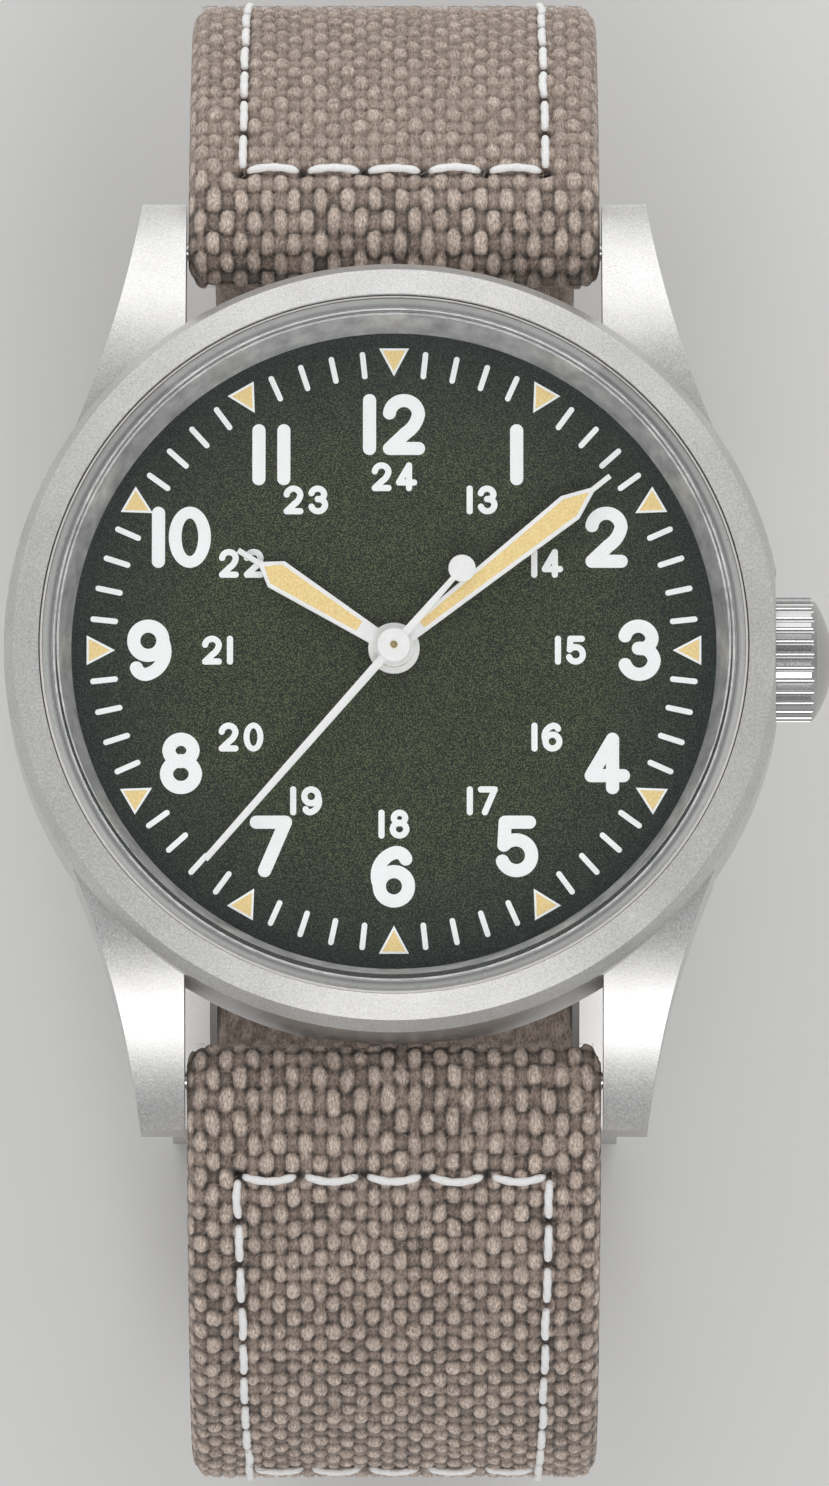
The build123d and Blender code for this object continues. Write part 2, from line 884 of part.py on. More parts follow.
# Ring that centres the movement in the case, with a slot for the stem
with BuildPart() as movement_ring:
    with BuildSketch(depth_plane(ring_bottom)):
        Circle(ring_outer_radius)
        Circle(ring_inner_radius, mode=Mode.SUBTRACT)
    extrude(amount=ring_bottom - ring_top)
    with BuildSketch(stem_plane):
        Circle(tube_bore_radius)
    extrude(amount=case_radius, mode=Mode.SUBTRACT)
movement_ring.part.label = "movement_ring"
export_step(movement_ring.part, "parts/movement_ring.step")

# Dial
with BuildPart() as dial:
    with BuildSketch(dial_plane):
        Circle(dial_radius)
        Circle(dial_hole_radius, mode=Mode.SUBTRACT)
    extrude(amount=-dial_thickness)
dial.part.label = "dial"
export_step(dial.part, "parts/dial.step")

# Hour numerals
numeral_faces = {
    hour: number_face(hour, numeral_height, number_gap_share(hour)) for hour in range(1, hours + 1)
}
with BuildPart() as dial_hour_numerals:
    with BuildSketch(dial_plane):
        for hour, face in numeral_faces.items():
            x, y = clock(1, hour * 360 / hours)
            with Locations((x * numeral_radius_x, y * numeral_radius_y)):
                add(face)
    extrude(amount=print_thickness)
dial_hour_numerals.part.label = "dial_hour_numerals"
export_step(dial_hour_numerals.part, "parts/dial_hour_numerals.step")

# Small numerals of the second half of the day
small_numeral_faces = {
    hour: number_face(hour + hours, small_numeral_height, small_numeral_gap_share)
    for hour in range(1, hours + 1)
}
with BuildPart() as dial_24_hour_numerals:
    with BuildSketch(dial_plane):
        for hour, face in small_numeral_faces.items():
            with Locations(clock(small_numeral_radius, hour * 360 / hours)):
                add(face)
    extrude(amount=print_thickness)
dial_24_hour_numerals.part.label = "dial_24_hour_numerals"
export_step(dial_24_hour_numerals.part, "parts/dial_24_hour_numerals.step")

# Minute track: a rounded tick at each minute and the white border of a triangle at each hour
triangle_middle = triangle_outer_radius - triangle_height / 2


def triangle_points(border):
    """Corners of an inward pointing triangle, drawn in by a border."""
    slope = hypot(triangle_height, triangle_width / 2)
    tip_inset = border * slope / (triangle_width / 2)
    half = triangle_width / 2 * (triangle_height - border - tip_inset) / triangle_height
    return [
        (half, triangle_height / 2 - border),
        (-half, triangle_height / 2 - border),
        (0, -triangle_height / 2 + tip_inset),
    ]


def track_location(radius, minute):
    """Place on the track with the local Y axis pointing outward."""
    angle = minute * 360 / minutes
    x, y = clock(radius, angle)
    return Location((x, y, 0), (0, 0, -angle))


with BuildPart() as dial_minute_track:
    with BuildSketch(dial_plane):
        for minute in range(minutes):
            if minute % ticks_per_hour:
                with Locations(track_location((tick_inner_radius + tick_outer_radius) / 2, minute)):
                    SlotOverall(tick_outer_radius - tick_inner_radius, tick_width, rotation=90)
            else:
                with Locations(track_location(triangle_middle, minute)):
                    Polygon(*triangle_points(0), align=None)
                    Polygon(*triangle_points(triangle_border), align=None, mode=Mode.SUBTRACT)
    extrude(amount=print_thickness)
dial_minute_track.part.label = "dial_minute_track"
export_step(dial_minute_track.part, "parts/dial_minute_track.step")

# Luminous fill of the triangles
with BuildPart() as dial_lume:
    with BuildSketch(dial_plane):
        for hour in range(hours):
            with Locations(track_location(triangle_middle, hour * ticks_per_hour)):
                Polygon(*triangle_points(triangle_border), align=None)
    extrude(amount=print_thickness)
dial_lume.part.label = "dial_lume"
export_step(dial_lume.part, "parts/dial_lume.step")


def hand_face(neck, belly_radius, belly, body_radius, tip_radius, needle, hub_radius):
    """Hand pointing along +Y: hub, blade that widens to its belly, and needle tip."""
    with BuildSketch() as hand:
        Circle(hub_radius)
        with BuildLine():
            Polyline(
                (neck / 2, 0),
                (belly / 2, belly_radius),
                (needle / 2, body_radius),
                (needle / 2, tip_radius),
                (-needle / 2, tip_radius),
                (-needle / 2, body_radius),
                (-belly / 2, belly_radius),
                (-neck / 2, 0),
                close=True,
            )
        make_face()
    return hand.sketch


def window_face(neck, belly_radius, belly, body_radius, start):
    """Opening of a hand inside its rim, which holds the luminous fill."""
    edge = neck / 2 + (belly - neck) / 2 * start / belly_radius - hand_rim
    with BuildSketch() as window:
        with BuildLine():
            Polyline(
                (edge, start),
                (belly / 2 - hand_rim, belly_radius),
                (0, body_radius - hand_rim),
                (hand_rim - belly / 2, belly_radius),
                (-edge, start),
                close=True,
            )
        make_face()
    return window.sketch


hour_hand_face = hand_face(
    hour_neck_width, hour_belly_radius, hour_belly_width, hour_body_radius,
    hour_tip_radius, hour_needle_width, hour_hub_radius,
)
hour_window_face = window_face(
    hour_neck_width, hour_belly_radius, hour_belly_width, hour_body_radius, hour_window_start
)
minute_hand_face = hand_face(
    minute_neck_width, minute_belly_radius, minute_belly_width, minute_body_radius,
    minute_tip_radius, minute_needle_width, minute_hub_radius,
)
minute_window_face = window_face(
    minute_neck_width, minute_belly_radius, minute_belly_width, minute_body_radius,
    minute_window_start,
)


def hand_plane(height, angle):
    """Plane at a height over the dial whose local Y axis points at an angle clockwise from 12."""
    x_dir = (cos(radians(angle)), -sin(radians(angle)), 0)
    return Plane(origin=(0, 0, dial_height + height), x_dir=x_dir, z_dir=(0, 0, 1))


# Hour hand on the hour wheel's pipe
with BuildPart() as hour_hand:
    with BuildSketch(hand_plane(hour_hand_height, hour_hand_angle)):
        add(hour_hand_face)
        add(hour_window_face, mode=Mode.SUBTRACT)
        Circle(hour_pipe_radius, mode=Mode.SUBTRACT)
    extrude(amount=hand_thickness)
hour_hand.part.label = "hour_hand"
export_step(hour_hand.part, "parts/hour_hand.step")

# Luminous fill of the hour hand
with BuildPart() as hour_hand_lume:
    with BuildSketch(hand_plane(hour_hand_height + lume_inset, hour_hand_angle)):
        add(hour_window_face)
    extrude(amount=hand_thickness - 2 * lume_inset)
hour_hand_lume.part.label = "hour_hand_lume"
export_step(hour_hand_lume.part, "parts/hour_hand_lume.step")

# Minute hand on the cannon pinion
with BuildPart() as minute_hand:
    with BuildSketch(hand_plane(minute_hand_height, minute_hand_angle)):
        add(minute_hand_face)
        add(minute_window_face, mode=Mode.SUBTRACT)
        Circle(cannon_radius, mode=Mode.SUBTRACT)
    extrude(amount=hand_thickness)
minute_hand.part.label = "minute_hand"
export_step(minute_hand.part, "parts/minute_hand.step")

# Luminous fill of the minute hand
with BuildPart() as minute_hand_lume:
    with BuildSketch(hand_plane(minute_hand_height + lume_inset, minute_hand_angle)):
        add(minute_window_face)
    extrude(amount=hand_thickness - 2 * lume_inset)
minute_hand_lume.part.label = "minute_hand_lume"
export_step(minute_hand_lume.part, "parts/minute_hand_lume.step")

# Centre seconds hand: tapered baton, counterweight disc on a thin tail, and a raised hub
second_hub_top = second_hand_height + hand_thickness + second_hub_rise
with BuildPart() as second_hand:
    with BuildSketch(hand_plane(second_hand_height, second_hand_angle)):
        with BuildLine():
            Polyline(
                (second_base_width / 2, 0),
                (second_tip_width / 2, second_tip_radius),
                (-second_tip_width / 2, second_tip_radius),
                (-second_base_width / 2, 0),
                (-second_tail_width / 2, -second_disc_distance),
                (second_tail_width / 2, -second_disc_distance),
                close=True,
            )
        make_face()
        with Locations((0, -second_disc_distance)):
            Circle(second_disc_radius)
        Circle(second_hub_radius)
    extrude(amount=hand_thickness)
    with BuildSketch(head_section):
        with BuildLine():
            Polyline(
                (0, second_hand_height),
                (second_hub_radius, second_hand_height),
                (second_hub_radius, second_hub_top - second_hub_rise / 2),
                (second_hub_radius - second_hub_rise / 2, second_hub_top),
                (0, second_hub_top),
                close=True,
            )
        make_face()
    revolve(axis=Axis.Z)
    with BuildSketch(dial_plane.offset(second_hand_height)):
        Circle(arbor_radius)
    extrude(amount=hand_thickness + second_hub_rise, mode=Mode.SUBTRACT)
second_hand.part.label = "second_hand"
export_step(second_hand.part, "parts/second_hand.step")

# Phases of the teeth, so that each gear's tooth stands in its mate's gap
centre_phase = third_direction
third_pinion_phase = mating_phase(centre_teeth, centre_phase, third_pinion_teeth, third_direction)
third_phase = third_direction + 180
fourth_pinion_phase = mating_phase(
    third_teeth, third_phase, fourth_pinion_teeth, third_direction + 180
)
fourth_phase = escape_direction
escape_pinion_phase = mating_phase(
    fourth_teeth, fourth_phase, escape_pinion_teeth, escape_direction
)
barrel_phase = barrel_direction + 180
centre_pinion_phase = mating_phase(
    barrel_teeth, barrel_phase, centre_pinion_teeth, barrel_direction + 180
)
cannon_phase = motion_direction
minute_wheel_phase = mating_phase(cannon_teeth, cannon_phase, minute_wheel_teeth, motion_direction)
hour_wheel_phase = motion_direction
minute_pinion_phase = mating_phase(
    hour_wheel_teeth, hour_wheel_phase, minute_pinion_teeth, motion_direction
)
ratchet_direction = degrees(
    atan2(crown_wheel_centre[1] - barrel_centre[1], crown_wheel_centre[0] - barrel_centre[0])
)
crown_wheel_phase = mating_phase(
    ratchet_teeth, ratchet_direction, crown_wheel_teeth, ratchet_direction
)

# Faces of the gears, each on its own centre
centre_wheel_face = gear_face(centre_teeth, centre_module, centre_phase)
centre_pinion_face = gear_face(centre_pinion_teeth, barrel_module, centre_pinion_phase)
third_wheel_face = gear_face(third_teeth, third_module, third_phase)
third_pinion_face = gear_face(third_pinion_teeth, centre_module, third_pinion_phase)
fourth_wheel_face = gear_face(fourth_teeth, fourth_module, fourth_phase)
fourth_pinion_face = gear_face(fourth_pinion_teeth, third_module, fourth_pinion_phase)
escape_pinion_face = gear_face(escape_pinion_teeth, fourth_module, escape_pinion_phase)
barrel_gear_face = gear_face(barrel_teeth, barrel_module, barrel_phase)
cannon_face = gear_face(cannon_teeth, cannon_module, cannon_phase)
minute_wheel_face = gear_face(minute_wheel_teeth, cannon_module, minute_wheel_phase)
minute_pinion_face = gear_face(minute_pinion_teeth, hour_module, minute_pinion_phase)
hour_wheel_face = gear_face(hour_wheel_teeth, hour_module, hour_wheel_phase)
ratchet_face = gear_face(ratchet_teeth, ratchet_module, ratchet_direction)
crown_wheel_face = gear_face(crown_wheel_teeth, ratchet_module, crown_wheel_phase)
winding_module = 2 * winding_pinion_radius / (winding_pinion_teeth + 2 * tooth_rise_share)
winding_pinion_face = gear_face(winding_pinion_teeth, winding_module, 0)

# Places of the pillars, screws, clamps and the foot of the cock
bridge_screw_places = [polar(distance, direction) for distance, direction in bridge_screws]
cock_foot = polar(cock_foot_distance, cock_foot_direction)
clamp_places = [polar(clamp_distance, direction) for direction in clamp_directions]
lever_turn = radians(lever_direction)
click_distance = (
    (ratchet_teeth / 2 + tooth_rise_share) * ratchet_module + click_clearance + click_width / 2
)
click_place = (
    barrel_centre[0] + click_distance * cos(radians(click_direction)),
    barrel_centre[1] + click_distance * sin(radians(click_direction)),
)


def lever_point(along, across):
    """Point placed along and across the line from the escape wheel to the balance, from the pallets."""
    return (
        pallet_centre[0] + along * cos(lever_turn) - across * sin(lever_turn),
        pallet_centre[1] + along * sin(lever_turn) + across * cos(lever_turn),
    )


pallet_foot = lever_point(0, pallet_bridge_reach)
bridge_seat = bridge_bottom - screw_counterbore
bridge_jewel_places = [(0, 0), third_centre, escape_centre]
plate_jewel_places = [third_centre, escape_centre, pallet_centre, balance_centre]

def depth_height(depth):
    """Height over the rest plane of a depth under the dial's seat."""
    return dial_height + seat_height - depth


def disc(place, radius, top, bottom, mode=Mode.ADD):
    """Add a round bar between two depths to the part that is being built."""
    with Locations((*place, depth_height(bottom))):
        Cylinder(radius, bottom - top, align=(Align.CENTER, Align.CENTER, Align.MIN), mode=mode)


def bore(place, radius, top, bottom):
    """Cut a round hole between two depths from the part that is being built."""
    disc(place, radius, top, bottom, mode=Mode.SUBTRACT)


def gear(place, face, top, thickness):
    """Add a gear face as a slice below a depth to the part that is being built."""
    extrude(face.moved(Location((*place, depth_height(top + thickness)))), amount=thickness)


# Main plate: disc with a raised rim and pillars, motion recess, balance well and winding pocket
with BuildPart() as mainplate:
    with BuildSketch(depth_plane(plate_bottom)):
        Circle(movement_radius)
    extrude(amount=plate_bottom - plate_top)
    with BuildSketch(depth_plane(bridge_top)):
        Circle(movement_radius)
        Circle(plate_rim_radius, mode=Mode.SUBTRACT)
        with Locations(*bridge_screw_places):
            Circle(pillar_radius)
    extrude(amount=bridge_top - plate_bottom)
    with BuildSketch(depth_plane(bridge_top)):
        with Locations(balance_centre):
            Circle(balance_well_radius)
    extrude(amount=bridge_top - plate_bottom, mode=Mode.SUBTRACT)
    with BuildSketch(depth_plane(motion_recess_depth)):
        Circle(motion_recess_radius)
        with Locations(motion_centre):
            Circle(post_radius, mode=Mode.SUBTRACT)
    extrude(amount=motion_recess_depth, mode=Mode.SUBTRACT)
    with BuildSketch(depth_plane(plate_top)):
        Circle(centre_tube_radius + running_gap)
        with Locations(barrel_centre):
            Circle(barrel_arbor_radius + running_gap)
    extrude(amount=-plate_bottom, mode=Mode.SUBTRACT)
    with BuildSketch(depth_plane(plate_bottom)):
        with Locations(*plate_jewel_places):
            Circle(jewel_radius)
    extrude(amount=jewel_thickness, mode=Mode.SUBTRACT)
    with BuildSketch(depth_plane(bridge_top)):
        with Locations(*bridge_screw_places):
            Circle(screw_shank_radius)
    extrude(amount=bridge_top - plate_bottom, mode=Mode.SUBTRACT)
    with BuildSketch(stem_plane.offset(stem_inner_x - winding_pocket_gap)):
        Circle(stem_radius + running_gap)
    extrude(amount=case_radius, mode=Mode.SUBTRACT)
    with BuildSketch(depth_plane(plate_bottom)):
        with Locations((yoke_pocket_x, 0)):
            Rectangle(
                winding_pinion_x + winding_pinion_length + winding_pocket_gap - yoke_pocket_x,
                2 * winding_pocket_half_width,
                align=(Align.MIN, Align.CENTER),
            )
        with Locations((yoke_pocket_x, 0)):
            Rectangle(
                winding_pinion_x - yoke_pocket_x,
                yoke_reach + winding_pocket_gap,
                align=(Align.MIN, Align.MAX),
            )
    extrude(amount=plate_bottom - winding_pocket_depth, mode=Mode.SUBTRACT)
mainplate.part.label = "mainplate"
export_step(mainplate.part, "parts/mainplate.step")


def bridge_holes(screws):
    """Cut counterbored screw holes into the bridge that is being built."""
    for place in screws:
        bore(place, screw_head_radius + screw_head_gap, bridge_seat, bridge_bottom)
        bore(place, screw_shank_radius, bridge_top, bridge_bottom)


def barrel_bridge_outline(seam, mode=Mode.ADD):
    """Area of the barrel bridge, grown by a seam: the side of 12 o'clock and a lobe under the crown wheel."""
    with Locations((0, bridge_split_y - seam)):
        Rectangle(
            2 * movement_radius,
            movement_radius + seam,
            align=(Align.CENTER, Align.MIN),
            mode=mode,
        )
    with Locations((bridge_split_x - seam, bridge_split_low_y - seam)):
        Rectangle(movement_radius, movement_radius, align=(Align.MIN, Align.MIN), mode=mode)


# Barrel bridge
with BuildPart() as barrel_bridge:
    with BuildSketch(depth_plane(bridge_bottom)):
        barrel_bridge_outline(0)
        Circle(bridge_radius, mode=Mode.INTERSECT)
        with Locations(balance_centre):
            Circle(balance_well_radius, mode=Mode.SUBTRACT)
        with Locations(cock_foot):
            Circle(cock_width / 2 + cock_foot_gap, mode=Mode.SUBTRACT)
        with Locations(barrel_centre):
            Circle(barrel_arbor_radius + running_gap, mode=Mode.SUBTRACT)
        with Locations(crown_wheel_centre, clamp_places[0]):
            Circle(screw_shank_radius, mode=Mode.SUBTRACT)
        with Locations((winding_pinion_x + winding_pinion_length / 2, 0)):
            Rectangle(
                winding_pinion_length + 2 * winding_pocket_gap,
                2 * winding_slot_half_width,
                mode=Mode.SUBTRACT,
            )
    extrude(amount=bridge_bottom - bridge_top)
    bridge_holes(bridge_screw_places[:2])
    disc(click_place, click_post_radius, bridge_top, ratchet_depth + ratchet_thickness)
barrel_bridge.part.label = "barrel_bridge"
export_step(barrel_bridge.part, "parts/barrel_bridge.step")

# Train bridge
with BuildPart() as train_bridge:
    with BuildSketch(depth_plane(bridge_bottom)):
        Circle(bridge_radius)
        barrel_bridge_outline(bridge_seam, Mode.SUBTRACT)
        with Locations(*bridge_jewel_places):
            Circle(jewel_radius, mode=Mode.SUBTRACT)
        with Locations(balance_centre):
            Circle(balance_well_radius, mode=Mode.SUBTRACT)
            Rectangle(
                movement_radius,
                2 * (bridge_split_y + bridge_seam),
                align=(Align.MAX, Align.CENTER),
                mode=Mode.SUBTRACT,
            )
        with Locations(clamp_places[1]):
            Circle(screw_shank_radius, mode=Mode.SUBTRACT)
    extrude(amount=bridge_bottom - bridge_top)
    bridge_holes(bridge_screw_places[2:])
train_bridge.part.label = "train_bridge"
export_step(train_bridge.part, "parts/train_bridge.step")

# Balance cock: foot on the main plate, arm over the balance, and the stud of the hairspring
hairspring_end_radius = hairspring_inner_radius + hairspring_turns * hairspring_pitch
stud_place = (
    balance_centre[0] + (hairspring_end_radius + hairspring_strip) * cos(radians(balance_direction)),
    balance_centre[1] + (hairspring_end_radius + hairspring_strip) * sin(radians(balance_direction)),
)
with BuildPart() as balance_cock:
    with BuildSketch(depth_plane(cock_bottom)):
        make_hull(
            Circle(cock_width, mode=Mode.PRIVATE).moved(Location(balance_centre)).edges()
            + Circle(cock_width / 2, mode=Mode.PRIVATE).moved(Location(cock_foot)).edges()
        )
        with Locations(balance_centre):
            Circle(jewel_radius, mode=Mode.SUBTRACT)
    extrude(amount=cock_bottom - cock_top)
    with BuildSketch(depth_plane(cock_top)):
        with Locations(cock_foot):
            Circle(cock_width / 2)
    extrude(amount=cock_top - plate_bottom)
    with BuildSketch(depth_plane(cock_top)):
        with Locations(stud_place):
            Circle(stud_radius)
    extrude(amount=cock_top - hairspring_depth - hairspring_height)
    with BuildSketch(depth_plane(cock_bottom)):
        with Locations(cock_foot):
            Circle(screw_head_radius + screw_head_gap)
    extrude(amount=screw_counterbore, mode=Mode.SUBTRACT)
    with BuildSketch(depth_plane(cock_bottom)):
        with Locations(cock_foot):
            Circle(screw_shank_radius)
    extrude(amount=bridge_bottom - bridge_top, mode=Mode.SUBTRACT)
balance_cock.part.label = "balance_cock"
export_step(balance_cock.part, "parts/balance_cock.step")

# Pallet bridge on its own foot
with BuildPart() as pallet_bridge:
    with BuildSketch(depth_plane(pallet_bridge_depth + pallet_bridge_thickness)):
        make_hull(
            Circle(pallet_bridge_width / 2, mode=Mode.PRIVATE).moved(Location(pallet_centre)).edges()
            + Circle(pallet_bridge_width / 2, mode=Mode.PRIVATE).moved(Location(pallet_foot)).edges()
        )
        with Locations(pallet_centre):
            Circle(jewel_bore_radius, mode=Mode.SUBTRACT)
    extrude(amount=pallet_bridge_thickness)
    with BuildSketch(depth_plane(pallet_bridge_depth)):
        with Locations(pallet_foot):
            Circle(pallet_bridge_width / 2)
    extrude(amount=pallet_bridge_depth - plate_bottom)
pallet_bridge.part.label = "pallet_bridge"
export_step(pallet_bridge.part, "parts/pallet_bridge.step")


def screw(place, seat, shank):
    """Slotted cheese-head screw: its head hangs below a seat depth and its shank goes up into the part."""
    disc(place, screw_head_radius, seat, seat + screw_head_height)
    disc(place, screw_shank_radius, seat - shank, seat)
    with Locations((*place, depth_height(seat + screw_head_height))):
        Box(
            2 * screw_head_radius,
            screw_slot_width,
            screw_slot_depth,
            align=(Align.CENTER, Align.CENTER, Align.MIN),
            mode=Mode.SUBTRACT,
        )


# Screws of the bridges, the cock, the crown wheel and the casing clamps
cock_seat = cock_bottom - screw_counterbore
clamp_seat = bridge_bottom + clamp_gap + clamp_thickness
crown_wheel_seat = ratchet_depth + ratchet_thickness + clamp_gap
with BuildPart() as movement_screws:
    for place in bridge_screw_places:
        screw(place, bridge_seat, bridge_seat - plate_bottom)
    for place in clamp_places:
        screw(place, clamp_seat, clamp_seat - bridge_top)
    screw(cock_foot, cock_seat, cock_seat - cock_bottom + bridge_bottom - bridge_top)
    screw(crown_wheel_centre, crown_wheel_seat, crown_wheel_seat - bridge_top)
movement_screws.part.label = "movement_screws"
export_step(movement_screws.part, "parts/movement_screws.step")

# Clamps that hold the movement against the dial, lapping the movement ring
with BuildPart() as casing_clamps:
    with BuildSketch(depth_plane(bridge_bottom + clamp_gap + clamp_thickness)):
        with Locations(*clamp_places):
            Circle(clamp_radius)
            Circle(screw_shank_radius, mode=Mode.SUBTRACT)
    extrude(amount=clamp_thickness)
casing_clamps.part.label = "casing_clamps"
export_step(casing_clamps.part, "parts/casing_clamps.step")

# Jewels of the train bridge, the main plate and the cock
with BuildPart() as jewels:
    with BuildSketch(depth_plane(bridge_bottom)):
        with Locations(*bridge_jewel_places):
            Circle(jewel_radius)
            Circle(jewel_bore_radius, mode=Mode.SUBTRACT)
    extrude(amount=jewel_thickness)
    with BuildSketch(depth_plane(cock_bottom)):
        with Locations(balance_centre):
            Circle(jewel_radius)
            Circle(jewel_bore_radius, mode=Mode.SUBTRACT)
    extrude(amount=jewel_thickness)
    with BuildSketch(depth_plane(plate_bottom)):
        with Locations(*plate_jewel_places):
            Circle(jewel_radius)
            Circle(jewel_bore_radius, mode=Mode.SUBTRACT)
    extrude(amount=jewel_thickness)
jewels.part.label = "jewels"
export_step(jewels.part, "parts/jewels.step")


shaft_top = plate_bottom + running_gap
shaft_bottom = bridge_top - running_gap
pivot_top = plate_bottom - jewel_thickness + running_gap
pivot_bottom = bridge_bottom - running_gap

# Centre wheel with its pinion on the hollow centre tube
centre_tube_top = seat_height - minute_hand_height - hand_thickness
centre_tube_bottom = centre_pinion_depth + centre_pinion_width
with BuildPart() as centre_wheel:
    gear((0, 0), centre_wheel_face, centre_wheel_depth, wheel_thickness)
    gear((0, 0), centre_pinion_face, centre_pinion_depth, centre_pinion_width)
    disc((0, 0), centre_tube_radius, centre_tube_top, centre_tube_bottom)
    bore((0, 0), centre_tube_bore, centre_tube_top, centre_tube_bottom)
centre_wheel.part.label = "centre_wheel"
export_step(centre_wheel.part, "parts/centre_wheel.step")

# Third wheel with its pinion
with BuildPart() as third_wheel:
    gear(third_centre, third_wheel_face, third_wheel_depth, wheel_thickness)
    gear(third_centre, third_pinion_face, third_pinion_depth, third_pinion_width)
    disc(third_centre, arbor_radius, shaft_top, shaft_bottom)
    disc(third_centre, pivot_radius, pivot_top, pivot_bottom)
third_wheel.part.label = "third_wheel"
export_step(third_wheel.part, "parts/third_wheel.step")

# Fourth wheel, whose long arbor carries the seconds hand
with BuildPart() as fourth_wheel:
    gear((0, 0), fourth_wheel_face, fourth_wheel_depth, wheel_thickness)
    gear((0, 0), fourth_pinion_face, fourth_pinion_depth, fourth_pinion_width)
    disc((0, 0), arbor_radius, seat_height - second_hub_top - second_pin_rise, shaft_bottom)
    disc((0, 0), pivot_radius, shaft_top, pivot_bottom)
fourth_wheel.part.label = "fourth_wheel"
export_step(fourth_wheel.part, "parts/fourth_wheel.step")

# Escape wheel with hooked teeth, and its pinion
escape_pitch = 360 / escape_teeth
escape_points = []
for tooth in range(escape_teeth):
    escape_points.append(polar(escape_root_radius, tooth * escape_pitch))
    escape_points.append(polar(escape_radius, (tooth + escape_hook_share) * escape_pitch))
    escape_points.append(polar(escape_radius, (tooth + escape_tip_share) * escape_pitch))
    escape_points.append(polar(escape_root_radius, (tooth + escape_back_share) * escape_pitch))
with BuildPart() as escape_wheel:
    with BuildSketch(depth_plane(escape_wheel_depth + escape_wheel_thickness)):
        with Locations(escape_centre):
            Polygon(*escape_points, align=None)
    extrude(amount=escape_wheel_thickness)
    gear(escape_centre, escape_pinion_face, escape_pinion_depth, escape_pinion_width)
    disc(escape_centre, arbor_radius, shaft_top, shaft_bottom)
    disc(escape_centre, pivot_radius, pivot_top, pivot_bottom)
escape_wheel.part.label = "escape_wheel"
export_step(escape_wheel.part, "parts/escape_wheel.step")

# Pallet fork: body and fork towards the balance, arms and stones towards the escape wheel
stone_along = (
    (escape_radius**2 - pallet_arm**2) ** 0.5 - pallet_distance + pallet_stone_gap
)
with BuildPart() as pallet_fork:
    with BuildSketch(depth_plane(pallet_depth + pallet_thickness)):
        with BuildLine():
            Polyline(
                lever_point(0, -pallet_body_width),
                lever_point(pallet_fork_length, -pallet_fork_width / 2),
                lever_point(pallet_fork_length, -impulse_pin_radius),
                lever_point(pallet_fork_length - pallet_fork_width, 0),
                lever_point(pallet_fork_length, impulse_pin_radius),
                lever_point(pallet_fork_length, pallet_fork_width / 2),
                lever_point(0, pallet_body_width),
                lever_point(stone_along, pallet_arm + pallet_stone_width / 2),
                lever_point(stone_along, pallet_arm - pallet_stone_width / 2),
                lever_point(-pallet_body_width, 0),
                lever_point(stone_along, pallet_stone_width / 2 - pallet_arm),
                lever_point(stone_along, -pallet_stone_width / 2 - pallet_arm),
                close=True,
            )
        make_face()
    extrude(amount=pallet_thickness)
    disc(pallet_centre, arbor_radius, shaft_top, pallet_bridge_depth - running_gap)
    disc(pallet_centre, pivot_radius, pivot_top, pallet_bridge_depth + pallet_bridge_thickness)
pallet_fork.part.label = "pallet_fork"
export_step(pallet_fork.part, "parts/pallet_fork.step")

# Balance: rim, arms, hub, staff and roller with its impulse pin
impulse_place = (
    balance_centre[0] - impulse_pin_distance * cos(lever_turn),
    balance_centre[1] - impulse_pin_distance * sin(lever_turn),
)
with BuildPart() as balance_wheel:
    with BuildSketch(depth_plane(balance_rim_depth + balance_rim_height)):
        with Locations(balance_centre):
            Circle(balance_radius)
            Circle(balance_radius - balance_rim_width, mode=Mode.SUBTRACT)
            Rectangle(2 * balance_radius - balance_rim_width, balance_arm_width)
    extrude(amount=balance_rim_height)
    disc(balance_centre, balance_hub_radius, balance_rim_depth, hairspring_depth + hairspring_height)
    disc(balance_centre, arbor_radius, shaft_top, cock_top - running_gap)
    disc(balance_centre, pivot_radius, pivot_top, cock_bottom - running_gap)
    disc(balance_centre, roller_radius, roller_depth, roller_depth + roller_height)
    disc(impulse_place, impulse_pin_radius, roller_depth - impulse_pin_length, roller_depth)
balance_wheel.part.label = "balance_wheel"
export_step(balance_wheel.part, "parts/balance_wheel.step")

# Hairspring, held at its outer end by the stud of the cock
hairspring_face = spiral_face(
    hairspring_inner_radius, hairspring_pitch, hairspring_turns, hairspring_strip
)
with BuildPart() as hairspring:
    with BuildSketch(depth_plane(hairspring_depth + hairspring_height)):
        with Locations(Location((*balance_centre, 0), (0, 0, balance_direction))):
            add(hairspring_face)
    extrude(amount=hairspring_height)
hairspring.part.label = "hairspring"
export_step(hairspring.part, "parts/hairspring.step")

# Barrel with its teeth
barrel_root_radius = barrel_teeth * barrel_module / 2 - tooth_fall_share * barrel_module
barrel_drum_radius = barrel_root_radius - barrel_drum_gap
barrel_inner_radius = barrel_drum_radius - barrel_wall
barrel_inner_top = barrel_top + barrel_floor
barrel_inner_bottom = barrel_bottom - barrel_lid
with BuildPart() as barrel:
    gear(barrel_centre, barrel_gear_face, barrel_top, barrel_tooth_width)
    disc(barrel_centre, barrel_drum_radius, barrel_top, barrel_bottom)
    bore(barrel_centre, barrel_inner_radius, barrel_inner_top, barrel_bottom)
    bore(barrel_centre, barrel_arbor_radius + running_gap, barrel_top, barrel_bottom)
barrel.part.label = "barrel"
export_step(barrel.part, "parts/barrel.step")

# Cover of the barrel
with BuildPart() as barrel_cover:
    disc(barrel_centre, barrel_inner_radius, barrel_inner_bottom, barrel_bottom)
    bore(barrel_centre, barrel_arbor_radius + running_gap, barrel_inner_bottom, barrel_bottom)
barrel_cover.part.label = "barrel_cover"
export_step(barrel_cover.part, "parts/barrel_cover.step")

